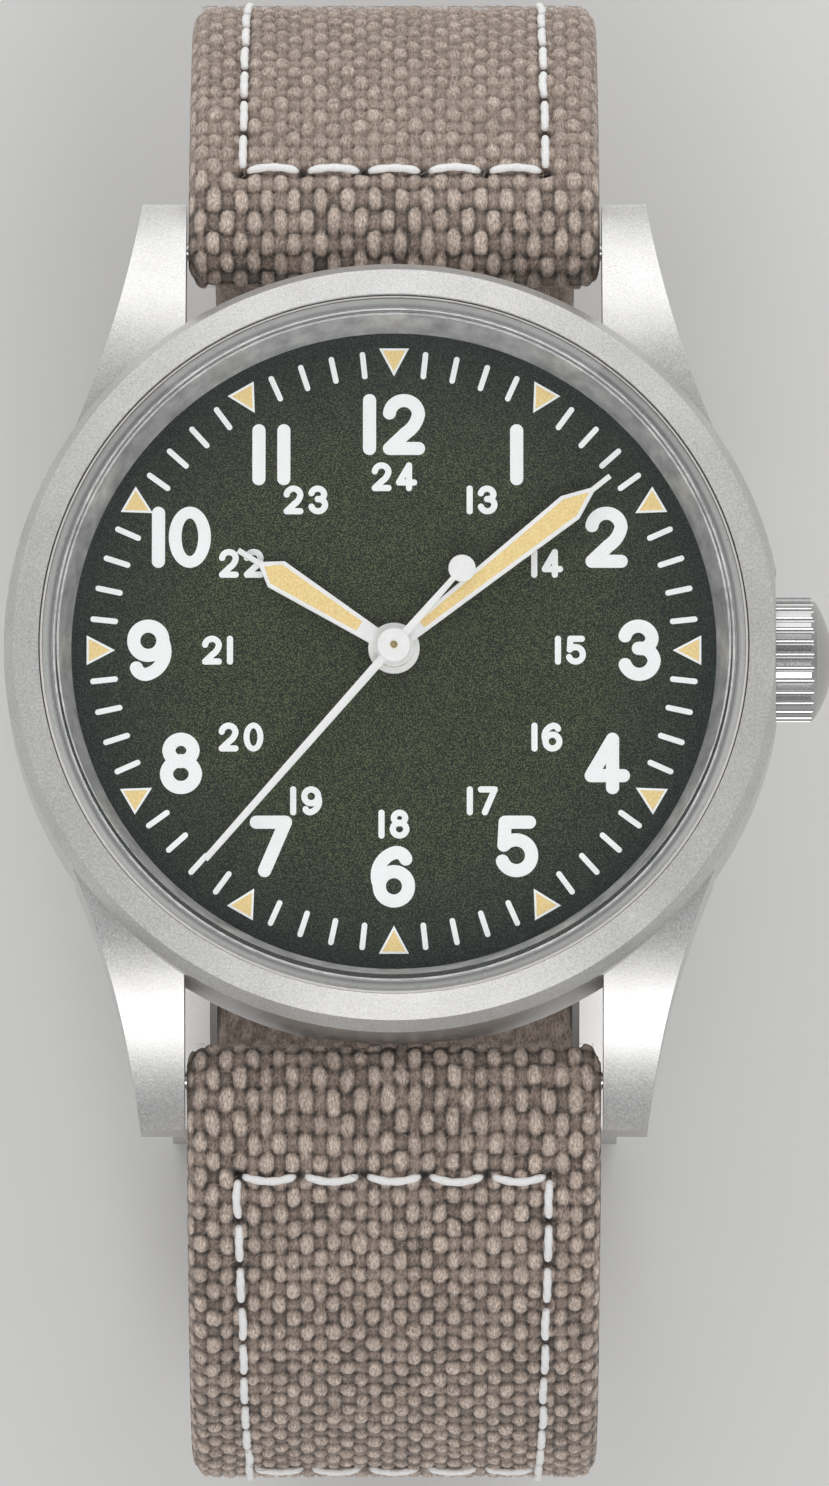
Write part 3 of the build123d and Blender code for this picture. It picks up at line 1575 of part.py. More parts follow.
# Arbor of the barrel
with BuildPart() as barrel_arbor:
    disc(barrel_centre, barrel_arbor_radius, plate_bottom / 2, ratchet_depth + ratchet_thickness)
    disc(
        barrel_centre,
        arbor_core_radius,
        barrel_inner_top + running_gap,
        barrel_inner_bottom - running_gap,
    )
barrel_arbor.part.label = "barrel_arbor"
export_step(barrel_arbor.part, "parts/barrel_arbor.step")

# Mainspring coiled round the arbor inside the barrel
mainspring_inner = arbor_core_radius + running_gap
mainspring_pitch = (barrel_inner_radius - mainspring_inner - 2 * mainspring_strip) / mainspring_turns
mainspring_face = spiral_face(mainspring_inner, mainspring_pitch, mainspring_turns, mainspring_strip)
with BuildPart() as mainspring:
    gear(
        barrel_centre,
        mainspring_face,
        barrel_inner_top + running_gap,
        barrel_inner_bottom - barrel_inner_top - 2 * running_gap,
    )
mainspring.part.label = "mainspring"
export_step(mainspring.part, "parts/mainspring.step")

# Ratchet wheel on the arbor of the barrel
with BuildPart() as ratchet_wheel:
    gear(barrel_centre, ratchet_face, ratchet_depth, ratchet_thickness)
    bore(barrel_centre, barrel_arbor_radius, ratchet_depth, ratchet_depth + ratchet_thickness)
ratchet_wheel.part.label = "ratchet_wheel"
export_step(ratchet_wheel.part, "parts/ratchet_wheel.step")

# Crown wheel, between the winding pinion and the ratchet wheel
with BuildPart() as crown_wheel:
    gear(crown_wheel_centre, crown_wheel_face, ratchet_depth, ratchet_thickness)
    bore(
        crown_wheel_centre,
        screw_shank_radius + running_gap,
        ratchet_depth,
        ratchet_depth + ratchet_thickness,
    )
crown_wheel.part.label = "crown_wheel"
export_step(crown_wheel.part, "parts/crown_wheel.step")

# Click beside the ratchet wheel, on a post of the barrel bridge
with BuildPart() as click:
    with BuildSketch(depth_plane(ratchet_depth + ratchet_thickness)):
        with Locations(Location((*click_place, 0), (0, 0, click_direction + 90))):
            SlotOverall(click_length, click_width)
        with Locations(click_place):
            Circle(click_post_radius + running_gap, mode=Mode.SUBTRACT)
    extrude(amount=ratchet_thickness)
click.part.label = "click"
export_step(click.part, "parts/click.step")

# Cannon pinion on the centre tube, carrying the minute hand
cannon_bottom = motion_wheel_depth + motion_wheel_thickness
with BuildPart() as cannon_pinion:
    gear((0, 0), cannon_face, motion_wheel_depth, motion_wheel_thickness)
    disc((0, 0), cannon_radius, centre_tube_top, cannon_bottom)
    bore((0, 0), centre_tube_radius, centre_tube_top, cannon_bottom)
cannon_pinion.part.label = "cannon_pinion"
export_step(cannon_pinion.part, "parts/cannon_pinion.step")

# Minute wheel with its pinion
with BuildPart() as minute_wheel:
    gear(motion_centre, minute_wheel_face, motion_wheel_depth, motion_wheel_thickness)
    gear(motion_centre, minute_pinion_face, hour_wheel_depth, motion_wheel_depth - hour_wheel_depth)
    bore(motion_centre, post_radius + running_gap, hour_wheel_depth, cannon_bottom)
minute_wheel.part.label = "minute_wheel"
export_step(minute_wheel.part, "parts/minute_wheel.step")

# Hour wheel with the pipe of the hour hand
hour_pipe_top = seat_height - hour_hand_height - hand_thickness
with BuildPart() as hour_wheel:
    gear((0, 0), hour_wheel_face, hour_wheel_depth, hour_wheel_thickness)
    disc((0, 0), hour_pipe_radius, hour_pipe_top, hour_wheel_depth)
    bore((0, 0), hour_pipe_bore, hour_pipe_top, hour_wheel_depth + hour_wheel_thickness)
hour_wheel.part.label = "hour_wheel"
export_step(hour_wheel.part, "parts/hour_wheel.step")

# Crown: fluted round bar with a domed end, a bore over the tube and the stem's thread
crown_section = Plane(
    origin=(0, 0, dial_height + stem_height), x_dir=(1, 0, 0), z_dir=(0, -1, 0)
)
stem_axis = Axis((0, 0, dial_height + stem_height), (1, 0, 0))
crown_bore_end = crown_inner_x + crown_bore_depth
stem_outer_x = crown_bore_end + stem_thread_depth
with BuildPart() as crown:
    with BuildSketch(crown_section):
        with BuildLine():
            Polyline(
                (crown_dome_x, 0),
                (crown_inner_x, 0),
                (crown_inner_x, crown_radius - crown_chamfer),
                (crown_inner_x + crown_chamfer, crown_radius),
                (crown_outer_x - crown_chamfer, crown_radius),
                (crown_outer_x, crown_radius - crown_chamfer),
            )
            TangentArc(
                (crown_dome_x, 0), (crown_outer_x, crown_radius - crown_chamfer), tangent=(0, 1)
            )
        make_face()
    revolve(axis=stem_axis)
    with BuildSketch(stem_plane.offset(crown_inner_x)):
        with PolarLocations(crown_radius + crown_flute_offset, crown_flute_count):
            Circle(crown_flute_radius)
    extrude(amount=crown_outer_x - crown_inner_x, mode=Mode.SUBTRACT)
    with BuildSketch(stem_plane.offset(crown_inner_x)):
        Circle(crown_bore_radius)
    extrude(amount=crown_bore_depth, mode=Mode.SUBTRACT)
    with BuildSketch(stem_plane.offset(crown_bore_end)):
        Circle(stem_radius)
    extrude(amount=stem_thread_depth, mode=Mode.SUBTRACT)
crown.part.label = "crown"
export_step(crown.part, "parts/crown.step")

# Gasket inside the crown, sliding on the tube
with BuildPart() as crown_gasket:
    with BuildSketch(stem_plane.offset(crown_gasket_x)):
        Circle(crown_bore_radius - running_gap)
        Circle(tube_radius + running_gap, mode=Mode.SUBTRACT)
    extrude(amount=crown_gasket_length)
crown_gasket.part.label = "crown_gasket"
export_step(crown_gasket.part, "parts/crown_gasket.step")

# Stem
with BuildPart() as stem:
    with BuildSketch(stem_plane.offset(stem_inner_x)):
        Circle(stem_radius)
    extrude(amount=stem_outer_x - stem_inner_x)
stem.part.label = "stem"
export_step(stem.part, "parts/stem.step")

# Winding pinion, loose on the stem
with BuildPart() as winding_pinion:
    with BuildSketch(stem_plane.offset(winding_pinion_x)):
        add(winding_pinion_face)
        Circle(stem_radius + running_gap, mode=Mode.SUBTRACT)
    extrude(amount=winding_pinion_length)
winding_pinion.part.label = "winding_pinion"
export_step(winding_pinion.part, "parts/winding_pinion.step")

# Sliding pinion with the groove of the yoke
groove_x = sliding_pinion_x + (sliding_pinion_length - sliding_groove_width) / 2
with BuildPart() as sliding_pinion:
    with BuildSketch(stem_plane.offset(sliding_pinion_x)):
        Circle(sliding_pinion_radius)
        Circle(stem_radius + running_gap, mode=Mode.SUBTRACT)
    extrude(amount=sliding_pinion_length)
    with BuildSketch(stem_plane.offset(groove_x)):
        Circle(sliding_pinion_radius)
        Circle(sliding_groove_radius, mode=Mode.SUBTRACT)
    extrude(amount=sliding_groove_width, mode=Mode.SUBTRACT)
sliding_pinion.part.label = "sliding_pinion"
export_step(sliding_pinion.part, "parts/sliding_pinion.step")

# Yoke, whose end lies in the groove of the sliding pinion
with BuildPart() as yoke:
    with BuildSketch(stem_plane.offset(groove_x + (sliding_groove_width - yoke_wall) / 2)):
        Rectangle(yoke_reach, 2 * yoke_half_height, align=(Align.MAX, Align.CENTER))
        Circle(sliding_groove_radius + running_gap, mode=Mode.SUBTRACT)
    extrude(amount=yoke_wall)
yoke.part.label = "yoke"
export_step(yoke.part, "parts/yoke.step")


def strap_width_outline():
    """Outline of the strap over its height: full width at the case, tapered round the bend, narrow behind."""
    Polygon(
        (-strap_width / 2, 0),
        (strap_width / 2, 0),
        (strap_width / 2, strap_taper_top),
        (strap_tail_width / 2, strap_taper_bottom),
        (strap_tail_width / 2, keeper_floor),
        (-strap_tail_width / 2, keeper_floor),
        (-strap_tail_width / 2, strap_taper_bottom),
        (-strap_width / 2, strap_taper_top),
        align=None,
    )


def loop_hull(centre, end):
    """Hull of the loop round a spring bar and the strap's thickness further along it."""
    loop = Circle(loop_radius, mode=Mode.PRIVATE).moved(Location(centre)).edges()
    body = Circle(half_strap, mode=Mode.PRIVATE).moved(Location((end.X, end.Y))).edges()
    make_hull(loop + body)


# Upper strap, of the 12 o'clock side, from its spring bar round the back to the bar of the buckle
buckle_bar_height = short_level + loop_radius - half_strap
notch_width = tongue_width + 2 * layer_gap
with BuildPart() as strap_upper:
    with BuildSketch(side_section):
        with BuildLine():
            upper_arc = JernArc(
                (strap_start_y, strap_start_height),
                (cos(leave), -sin(leave)),
                upper_radius,
                strap_leave_angle - 90,
            )
            bend_arc = JernArc(upper_arc @ 1, (0, -1), short_bend_radius, -90)
            Line(bend_arc @ 1, (buckle_bar_y, short_level))
            offset(amount=half_strap)
        make_face()
        loop_hull((bar_y, bar_height), upper_arc.position_at(loop_blend, PositionMode.LENGTH))
        loop_hull(
            (buckle_bar_y, buckle_bar_height), Vector(buckle_bar_y + buckle_loop_blend, short_level)
        )
        with Locations((bar_y, bar_height), (buckle_bar_y, buckle_bar_height)):
            Circle(spring_tube_radius + running_gap, mode=Mode.SUBTRACT)
    extrude(amount=strap_width / 2, both=True)
    with BuildSketch(head_section):
        strap_width_outline()
    extrude(amount=2 * lower_reach, both=True, mode=Mode.INTERSECT)
    with BuildSketch(dial_plane.offset(short_level - loop_radius)):
        with Locations((0, buckle_bar_y)):
            Rectangle(notch_width, 2 * (loop_radius + layer_gap))
    extrude(amount=2 * (loop_radius + strap_thickness), mode=Mode.SUBTRACT)
strap_upper.part.label = "strap_upper"
export_step(strap_upper.part, "parts/strap_upper.step")

# Lower strap, of the 6 o'clock side, through the buckle and both keepers to its pointed tail
ramp_run = (ramp_end_y - ramp_start_y) / 2
ramp_angle = 2 * atan2(ramp_drop / 2, ramp_run)
ramp_radius = ramp_run / sin(ramp_angle)
tail_end_y = short_bend_y + tail_bend_radius * sin(radians(tail_curl)) + half_strap
with BuildPart() as strap_lower:
    with BuildSketch(side_section):
        with BuildLine():
            lower_arc = JernArc(
                (-strap_start_y, strap_start_height),
                (-cos(leave), -sin(leave)),
                lower_radius,
                90 - strap_leave_angle,
            )
            long_bend = JernArc(lower_arc @ 1, (0, -1), long_bend_radius, 90)
            Line(long_bend @ 1, (ramp_start_y, front_level))
            ramp_in = JernArc((ramp_start_y, front_level), (1, 0), ramp_radius, -degrees(ramp_angle))
            ramp_out = JernArc(ramp_in @ 1, ramp_in % 1, ramp_radius, degrees(ramp_angle))
            Line(ramp_out @ 1, (short_bend_y, tail_level))
            JernArc((short_bend_y, tail_level), (1, 0), tail_bend_radius, tail_curl)
            offset(amount=half_strap)
        make_face()
        loop_hull((-bar_y, bar_height), lower_arc.position_at(loop_blend, PositionMode.LENGTH))
        with Locations((-bar_y, bar_height)):
            Circle(spring_tube_radius + running_gap, mode=Mode.SUBTRACT)
    extrude(amount=strap_width / 2, both=True)
    with BuildSketch(head_section):
        strap_width_outline()
    extrude(amount=2 * lower_reach, both=True, mode=Mode.INTERSECT)
    with BuildSketch(Plane.XY):
        with BuildLine():
            tail_side = Line(
                (strap_width / 2, -lower_reach - overrun),
                (strap_width / 2, tail_end_y - tail_point_length),
            )
            ThreePointArc(
                tail_side @ 1,
                (tail_side_share * strap_width / 2, tail_end_y - tail_shoulder_share * tail_point_length),
                (0, tail_end_y),
            )
            Polyline((0, tail_end_y), (0, -lower_reach - overrun), tail_side @ 0)
        make_face()
        mirror(about=Plane.YZ)
    extrude(amount=dial_height, mode=Mode.INTERSECT)
    with BuildSketch(dial_plane.offset(tail_level - strap_thickness)):
        with Locations(*[(0, tongue_slot_y + step * hole_pitch) for step in hole_steps]):
            Circle(hole_radius)
        with Locations((0, tongue_slot_y)):
            Rectangle(tongue_slot_width, tongue_slot_length)
    extrude(amount=2 * strap_thickness + ramp_drop, mode=Mode.SUBTRACT)
strap_lower.part.label = "strap_lower"
export_step(strap_lower.part, "parts/strap_lower.step")

# Spring bars of the lugs and the buckle: each a height, a place along Y and the gap that it spans
buckle_inner_x = strap_tail_width / 2 + buckle_side_gap
spring_bars = [
    (bar_y, bar_height, lug_inner_x),
    (-bar_y, bar_height, lug_inner_x),
    (buckle_bar_y, buckle_bar_height, buckle_inner_x),
]

# Tubes of the spring bars
with BuildPart() as spring_bar_tubes:
    for y, height, span in spring_bars:
        with BuildSketch(side_section):
            with Locations((y, height)):
                Circle(spring_tube_radius)
                Circle(spring_tube_bore, mode=Mode.SUBTRACT)
        extrude(amount=span - spring_tube_inset, both=True)
spring_bar_tubes.part.label = "spring_bar_tubes"
export_step(spring_bar_tubes.part, "parts/spring_bar_tubes.step")

# Pins of the right side: a shoulder inside the tube and a tip in the hole of the lug
with BuildPart() as spring_bar_pins_right:
    for y, height, span in spring_bars:
        with BuildSketch(side_section.offset(span - spring_tube_inset - pin_shoulder)):
            with Locations((y, height)):
                Circle(pin_radius)
        extrude(amount=pin_shoulder + spring_tube_inset - pin_gap)
        with BuildSketch(side_section.offset(span - pin_gap)):
            with Locations((y, height)):
                Circle(pin_tip_radius)
        extrude(amount=pin_gap + pin_reach)
spring_bar_pins_right.part.label = "spring_bar_pins_right"
export_step(spring_bar_pins_right.part, "parts/spring_bar_pins_right.step")

# Pins of the left side
with BuildPart() as spring_bar_pins_left:
    add(spring_bar_pins_right.part.mirror(Plane.YZ))
spring_bar_pins_left.part.label = "spring_bar_pins_left"
export_step(spring_bar_pins_left.part, "parts/spring_bar_pins_left.step")

# Springs inside the tubes, drawn as the sleeve that their turns fill, clear of the pins' travel
with BuildPart() as spring_bar_springs:
    for y, height, span in spring_bars:
        with BuildSketch(side_section):
            with Locations((y, height)):
                Circle(spring_tube_bore - running_gap)
                Circle(bar_wire_radius, mode=Mode.SUBTRACT)
        extrude(amount=span - spring_tube_inset - pin_shoulder - pin_travel - pin_gap, both=True)
spring_bar_springs.part.label = "spring_bar_springs"
export_step(spring_bar_springs.part, "parts/spring_bar_springs.step")


def keeper_outline(middle, wall):
    """Rounded outline of a keeper on a sketch plane across the strap."""
    inner_width = strap_tail_width + 2 * keeper_side_gap
    inner_height = keeper_roof - keeper_floor - 2 * keeper_wall
    with Locations((0, middle)):
        RectangleRounded(inner_width + 2 * wall, inner_height + 2 * wall, keeper_corner + wall)
        RectangleRounded(inner_width, inner_height, keeper_corner, mode=Mode.SUBTRACT)


# Keepers: loops round both layers of the strap, one fixed behind the buckle and one free
keeper_middle = (keeper_roof + keeper_floor) / 2
with BuildPart() as fixed_keeper:
    with BuildSketch(head_section):
        keeper_outline(keeper_middle, keeper_wall)
    extrude(amount=keeper_length / 2, both=True)
fixed_keeper.part.label = "fixed_keeper"
export_step(fixed_keeper.part, "parts/fixed_keeper.step")

with BuildPart() as free_keeper:
    with BuildSketch(head_section.offset(-free_keeper_y)):
        keeper_outline(keeper_middle, keeper_wall)
    extrude(amount=keeper_length / 2, both=True)
free_keeper.part.label = "free_keeper"
export_step(free_keeper.part, "parts/free_keeper.step")

# Buckle frame: two arms from the eyes of the bar to a round front bar with a notch for the tongue
front_radius = (front_level - half_strap - layer_gap - keeper_floor) / 2
front_height = keeper_floor + front_radius
buckle_outer_x = buckle_inner_x + buckle_side_width
notch_floor = keeper_floor + tongue_floor_gap + tongue_thickness + notch_gap
with BuildPart() as buckle_frame:
    with BuildSketch(side_section):
        make_hull(
            Circle(buckle_eye_radius, mode=Mode.PRIVATE)
            .moved(Location((buckle_bar_y, buckle_bar_height)))
            .edges()
            + Circle(front_radius, mode=Mode.PRIVATE)
            .moved(Location((buckle_front_y, front_height)))
            .edges()
        )
    extrude(amount=buckle_outer_x, both=True)
    with BuildSketch(side_section):
        with BuildLine():
            Polyline(
                (buckle_front_y + front_radius, keeper_floor - overrun),
                (buckle_bar_y + strap_thickness, keeper_floor - overrun),
                (buckle_bar_y + strap_thickness, keeper_roof + overrun),
                (buckle_front_y - front_radius, keeper_roof + overrun),
                (buckle_front_y - front_radius, front_height + front_radius),
                (buckle_front_y, front_height + front_radius),
                close=True,
            )
        make_face()
    extrude(amount=buckle_inner_x, both=True, mode=Mode.SUBTRACT)
    with BuildSketch(side_section):
        with Locations((buckle_front_y, front_height)):
            Circle(front_radius)
    extrude(amount=buckle_outer_x, both=True)
    with BuildSketch(side_section):
        with Locations((buckle_front_y, notch_floor)):
            Rectangle(4 * front_radius, 2 * front_radius, align=(Align.CENTER, Align.MAX))
    extrude(amount=notch_width / 2, both=True, mode=Mode.SUBTRACT)
    with BuildSketch(side_section):
        with Locations((buckle_bar_y, buckle_bar_height)):
            Circle(pin_tip_radius + running_gap)
    extrude(amount=buckle_inner_x + pin_reach + pin_gap, both=True, mode=Mode.SUBTRACT)
buckle_frame.part.label = "buckle_frame"
export_step(buckle_frame.part, "parts/buckle_frame.step")

# Tongue of the buckle: ring round the bar and a bent shank through the strap to the notch
half_tongue = tongue_thickness / 2
tongue_start_height = buckle_bar_height - tongue_ring_radius + half_tongue
knee_height = tongue_start_height - tongue_knee_rise
drop_height = (front_level + tail_level) / 2 - half_strap - tongue_drop_gap - half_tongue
rest_height = keeper_floor + tongue_floor_gap + half_tongue
with BuildPart() as buckle_tongue:
    with BuildSketch(side_section):
        with BuildLine():
            Polyline(
                (buckle_bar_y, tongue_start_height),
                (tongue_knee_y, knee_height),
                (tongue_drop_y, drop_height),
                (tongue_rest_y, rest_height),
                (tongue_tip_y + half_tongue, rest_height),
            )
            offset(amount=half_tongue)
        make_face()
        with Locations((buckle_bar_y, buckle_bar_height)):
            Circle(tongue_ring_radius)
            Circle(spring_tube_radius + tongue_bore_gap, mode=Mode.SUBTRACT)
    extrude(amount=tongue_width / 2, both=True)
buckle_tongue.part.label = "buckle_tongue"
export_step(buckle_tongue.part, "parts/buckle_tongue.step")
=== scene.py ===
import json
import math

import bpy
import numpy as np
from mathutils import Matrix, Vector


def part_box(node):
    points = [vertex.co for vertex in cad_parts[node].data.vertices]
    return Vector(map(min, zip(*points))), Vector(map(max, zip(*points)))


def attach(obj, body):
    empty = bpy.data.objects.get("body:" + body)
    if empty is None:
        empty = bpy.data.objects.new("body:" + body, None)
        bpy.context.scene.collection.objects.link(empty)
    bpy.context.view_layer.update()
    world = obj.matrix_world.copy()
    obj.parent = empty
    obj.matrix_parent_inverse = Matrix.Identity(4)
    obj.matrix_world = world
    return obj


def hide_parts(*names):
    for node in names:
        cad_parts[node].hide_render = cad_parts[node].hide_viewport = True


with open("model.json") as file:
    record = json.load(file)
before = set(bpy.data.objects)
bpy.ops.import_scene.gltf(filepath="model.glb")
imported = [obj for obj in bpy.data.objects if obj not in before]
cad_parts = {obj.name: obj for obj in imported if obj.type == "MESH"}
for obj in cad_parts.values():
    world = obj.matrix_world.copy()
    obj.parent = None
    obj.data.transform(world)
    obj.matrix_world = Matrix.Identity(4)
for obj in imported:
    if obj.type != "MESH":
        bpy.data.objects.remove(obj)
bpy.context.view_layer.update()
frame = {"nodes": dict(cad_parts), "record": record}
nodes = frame["nodes"]

MM = 0.001
dial_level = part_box("dial")[1][2] / MM
chance = np.random.default_rng(7)

# Strap, in millimetres: its cloth and its yarns
HALF = 1.1             # half the strap's thickness
LOOP = 1.85            # radius of the loops round the bars
TUBE = 0.78            # radius left for a bar
EDGE = 0.85            # how far the rounding of an edge reaches in
WARP = 0.655           # pitch of the yarns across the strap
WEFT = 0.85            # pitch of the picks along it

# Its line seen from the side: y from the dial's centre outwards, heights from the dial's face
BAR = (20.6, -3.7)     # bar between the lugs
BUCKLE_BAR_Y = -5.2    # bar of the buckle, on the side of 6
LEAVE_ANGLE = 10.0     # slope in degrees where the strap leaves the lugs
UPPER_REACH = 36.0     # how far each half reaches out
LOWER_REACH = 37.6
SHORT_BEND = 17.0      # bend of the upper half under the watch
LAYER_GAP = 0.2        # gap between the two layers under the watch
FRONT_RISE = 1.2       # how much higher the lower half runs before it dips under the buckle
DIP_FROM = 15.2        # y where that dip begins and ends
DIP_TO = 7.2
TAIL_CURL = 42.0       # degrees that the tail follows the bend of the upper half
TAIL_PAST = 0.9        # straight end of the tail
TAIL_POINT = 7.0       # length of the tail's pointed end
STEP = 0.02            # spacing of the points of a side outline

leave = math.radians(LEAVE_ANGLE)
start = (BAR[0] + (LOOP - HALF) * math.sin(leave), BAR[1] + (LOOP - HALF) * math.cos(leave))
upper_radius = (UPPER_REACH - HALF - start[0]) / (1 - math.sin(leave))
lower_radius = (LOWER_REACH - HALF - start[0]) / (1 - math.sin(leave))
upper_waist = start[1] - upper_radius * math.cos(leave)
lower_waist = start[1] - lower_radius * math.cos(leave)
short_level = upper_waist - SHORT_BEND
short_bend_y = UPPER_REACH - HALF - SHORT_BEND
tail_level = short_level - 2 * HALF - LAYER_GAP
long_bend = lower_waist - tail_level - FRONT_RISE
long_bend_y = LOWER_REACH - HALF - long_bend
dip_run = (DIP_FROM - DIP_TO) / 2
dip_angle = 2 * math.atan2(FRONT_RISE / 2, dip_run)
dip_radius = dip_run / math.sin(dip_angle)
tail_bend = SHORT_BEND + 2 * HALF + LAYER_GAP
tail_end = short_bend_y + tail_bend * math.sin(math.radians(TAIL_CURL)) + HALF


# Materials


def new_material(name):
    material = bpy.data.materials.new(name)
    material.use_nodes = True
    tree = material.node_tree
    return material, tree, tree.nodes["Principled BSDF"]


def add(tree, kind, **settings):
    node = tree.nodes.new(kind)
    for key, value in settings.items():
        setattr(node, key, value)
    return node


def grey(level):
    return (level, level, level)


def times(colour, factor):
    return tuple(min(1, c * factor) for c in colour)


def noise(tree, scale, detail=3.0, roughness=0.5, vector=None):
    """Noise in object coordinates; scale is in waves per millimetre."""
    texture = add(tree, "ShaderNodeTexNoise")
    texture.inputs["Scale"].default_value = scale / MM
    texture.inputs["Detail"].default_value = detail
    texture.inputs["Roughness"].default_value = roughness
    if vector is None:
        vector = add(tree, "ShaderNodeTexCoord").outputs["Object"]
    tree.links.new(vector, texture.inputs["Vector"])
    return texture.outputs["Fac"]


def ramp(tree, value, stops):
    """Colour of a value, from stops of place and colour."""
    node = add(tree, "ShaderNodeValToRGB")
    elements = node.color_ramp.elements
    while len(elements) < len(stops):
        elements.new(0.5)
    for element, (place, colour) in zip(elements, stops):
        element.position = place
        element.color = (*colour, 1)
    tree.links.new(value, node.inputs["Fac"])
    return node.outputs["Color"]


def scaled(tree, value, low, high, from_low=0.0, from_high=1.0):
    node = add(tree, "ShaderNodeMapRange")
    node.inputs["From Min"].default_value = from_low
    node.inputs["From Max"].default_value = from_high
    node.inputs["To Min"].default_value = low
    node.inputs["To Max"].default_value = high
    tree.links.new(value, node.inputs["Value"])
    return node.outputs["Result"]


def mixed(tree, blend, amount, first, second):
    node = add(tree, "ShaderNodeMix", data_type="RGBA", blend_type=blend)
    for key, value in (("Factor", amount), ("A", first), ("B", second)):
        socket = next(s for s in node.inputs if s.name == key and s.type in ("VALUE", "RGBA") and s.enabled)
        if key == "Factor":
            socket.default_value = value
        else:
            tree.links.new(value, socket)
    return next(s for s in node.outputs if s.enabled)


def bump(tree, shader, height, depth):
    """Fine relief of the given depth in millimetres."""
    node = add(tree, "ShaderNodeBump")
    node.inputs["Strength"].default_value = 1.0
    node.inputs["Distance"].default_value = depth * MM
    tree.links.new(height, node.inputs["Height"])
    tree.links.new(node.outputs["Normal"], shader.inputs["Normal"])


def radius_share(tree, inner, outer):
    """Distance from the axis of the hands, as a share of the way between two radii in millimetres."""
    coordinates = add(tree, "ShaderNodeTexCoord")
    flat = add(tree, "ShaderNodeVectorMath", operation="MULTIPLY")
    flat.inputs[1].default_value = (1 / MM, 1 / MM, 0)
    tree.links.new(coordinates.outputs["Object"], flat.inputs[0])
    length = add(tree, "ShaderNodeVectorMath", operation="LENGTH")
    tree.links.new(flat.outputs["Vector"], length.inputs[0])
    return scaled(tree, length.outputs["Value"], 0, 1, inner, outer)


def grained(name, colour, roughness, metallic, grain, depth, spread=0.08, rough_spread=0.08):
    """A plain finish with fine grain: bead-blasted, turned, moulded or plated.

    grain is in waves per millimetre and depth in millimetres; the spreads are how far the tone
    and the roughness vary.
    """
    patch_scale = 0.3
    patch_share = 0.2
    contrast = [(0.3, grey(0)), (0.7, grey(1))]
    material, tree, shader = new_material(name)
    fine = noise(tree, grain, 4.0, 0.6)
    wide = noise(tree, patch_scale, 2.0)
    both = mixed(tree, "MIX", patch_share, ramp(tree, fine, contrast), ramp(tree, wide, contrast))
    tones = [(0.0, times(colour, 1 - spread)), (1.0, times(colour, 1 + spread))]
    tree.links.new(ramp(tree, both, tones), shader.inputs["Base Color"])
    rough = scaled(tree, fine, roughness - rough_spread, roughness + rough_spread, 0.3, 0.7)
    tree.links.new(rough, shader.inputs["Roughness"])
    shader.inputs["Metallic"].default_value = metallic
    bump(tree, shader, fine, depth)
    return material


def nylon_material():
    """Seal round the crystal: pale on top, with painted shade in black where the gap is at its outer edge.
    """
    pale_ring = 0.30
    material, tree, shader = new_material("nylon")
    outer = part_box("crystal_gasket")[1][0] / MM
    # The black outer stops are painted shade in the gap at the seal's outer edge.
    stops = [(0.0, (0.82, 0.80, 0.78)), (0.70, (0.82, 0.78, 0.74)), (0.80, grey(0.05)), (1.0, grey(0.04))]
    across = radius_share(tree, outer - pale_ring, outer)
    tree.links.new(ramp(tree, across, stops), shader.inputs["Base Color"])
    shader.inputs["Roughness"].default_value = 0.4
    return material


def rehaut_material():
    """Sloped ring under the crystal: satin with mottling."""
    material, tree, shader = new_material("rehaut_satin")
    mottle = noise(tree, 0.9, 5.0, 0.72)
    stops = [(0.32, (0.42, 0.42, 0.425)), (0.68, (0.78, 0.77, 0.755))]
    tree.links.new(ramp(tree, mottle, stops), shader.inputs["Base Color"])
    tree.links.new(scaled(tree, mottle, 0.42, 0.60, 0.3, 0.7), shader.inputs["Roughness"])
    shader.inputs["Metallic"].default_value = 0.6
    bump(tree, shader, noise(tree, 7.0, 3.0), 0.01)
    return material


def dial_material():
    """Dark olive with fine sparkling grain, with painted shade making it darker and cooler towards the rim.
    """
    rim = 16.1
    material, tree, shader = new_material("dial_paint")
    # Painted shade: the olive turns darker and cooler over the outer part, towards the rehaut.
    olive_and_rim_shade = ramp(tree, radius_share(tree, 0, rim), [
        (0.0, (0.0265, 0.0318, 0.0165)), (0.60, (0.0265, 0.0318, 0.0170)),
        (0.85, (0.015, 0.0195, 0.0135)), (1.0, (0.006, 0.010, 0.010))])
    fine = noise(tree, 15.0, 1.0, 0.6)
    grain = ramp(tree, fine, [(0.40, grey(0.15)), (0.51, grey(0.75)), (0.62, (3.7, 3.75, 2.95))])
    tree.links.new(mixed(tree, "MULTIPLY", 1.0, olive_and_rim_shade, grain), shader.inputs["Base Color"])
    shader.inputs["Roughness"].default_value = 0.6
    shader.inputs["Metallic"].default_value = 0.0
    shader.inputs["Specular IOR Level"].default_value = 0.25
    bump(tree, shader, fine, 0.004)
    return material


def paste_material():
    """Luminous paste: cream and grainy."""
    material, tree, shader = new_material("lume_paste")
    fine = noise(tree, 10.0, 3.0, 0.6)
    stops = [(0.3, (0.79, 0.55, 0.21)), (0.7, (0.96, 0.76, 0.37))]
    tree.links.new(ramp(tree, fine, stops), shader.inputs["Base Color"])
    shader.inputs["Roughness"].default_value = 0.75
    bump(tree, shader, fine, 0.02)
    return material


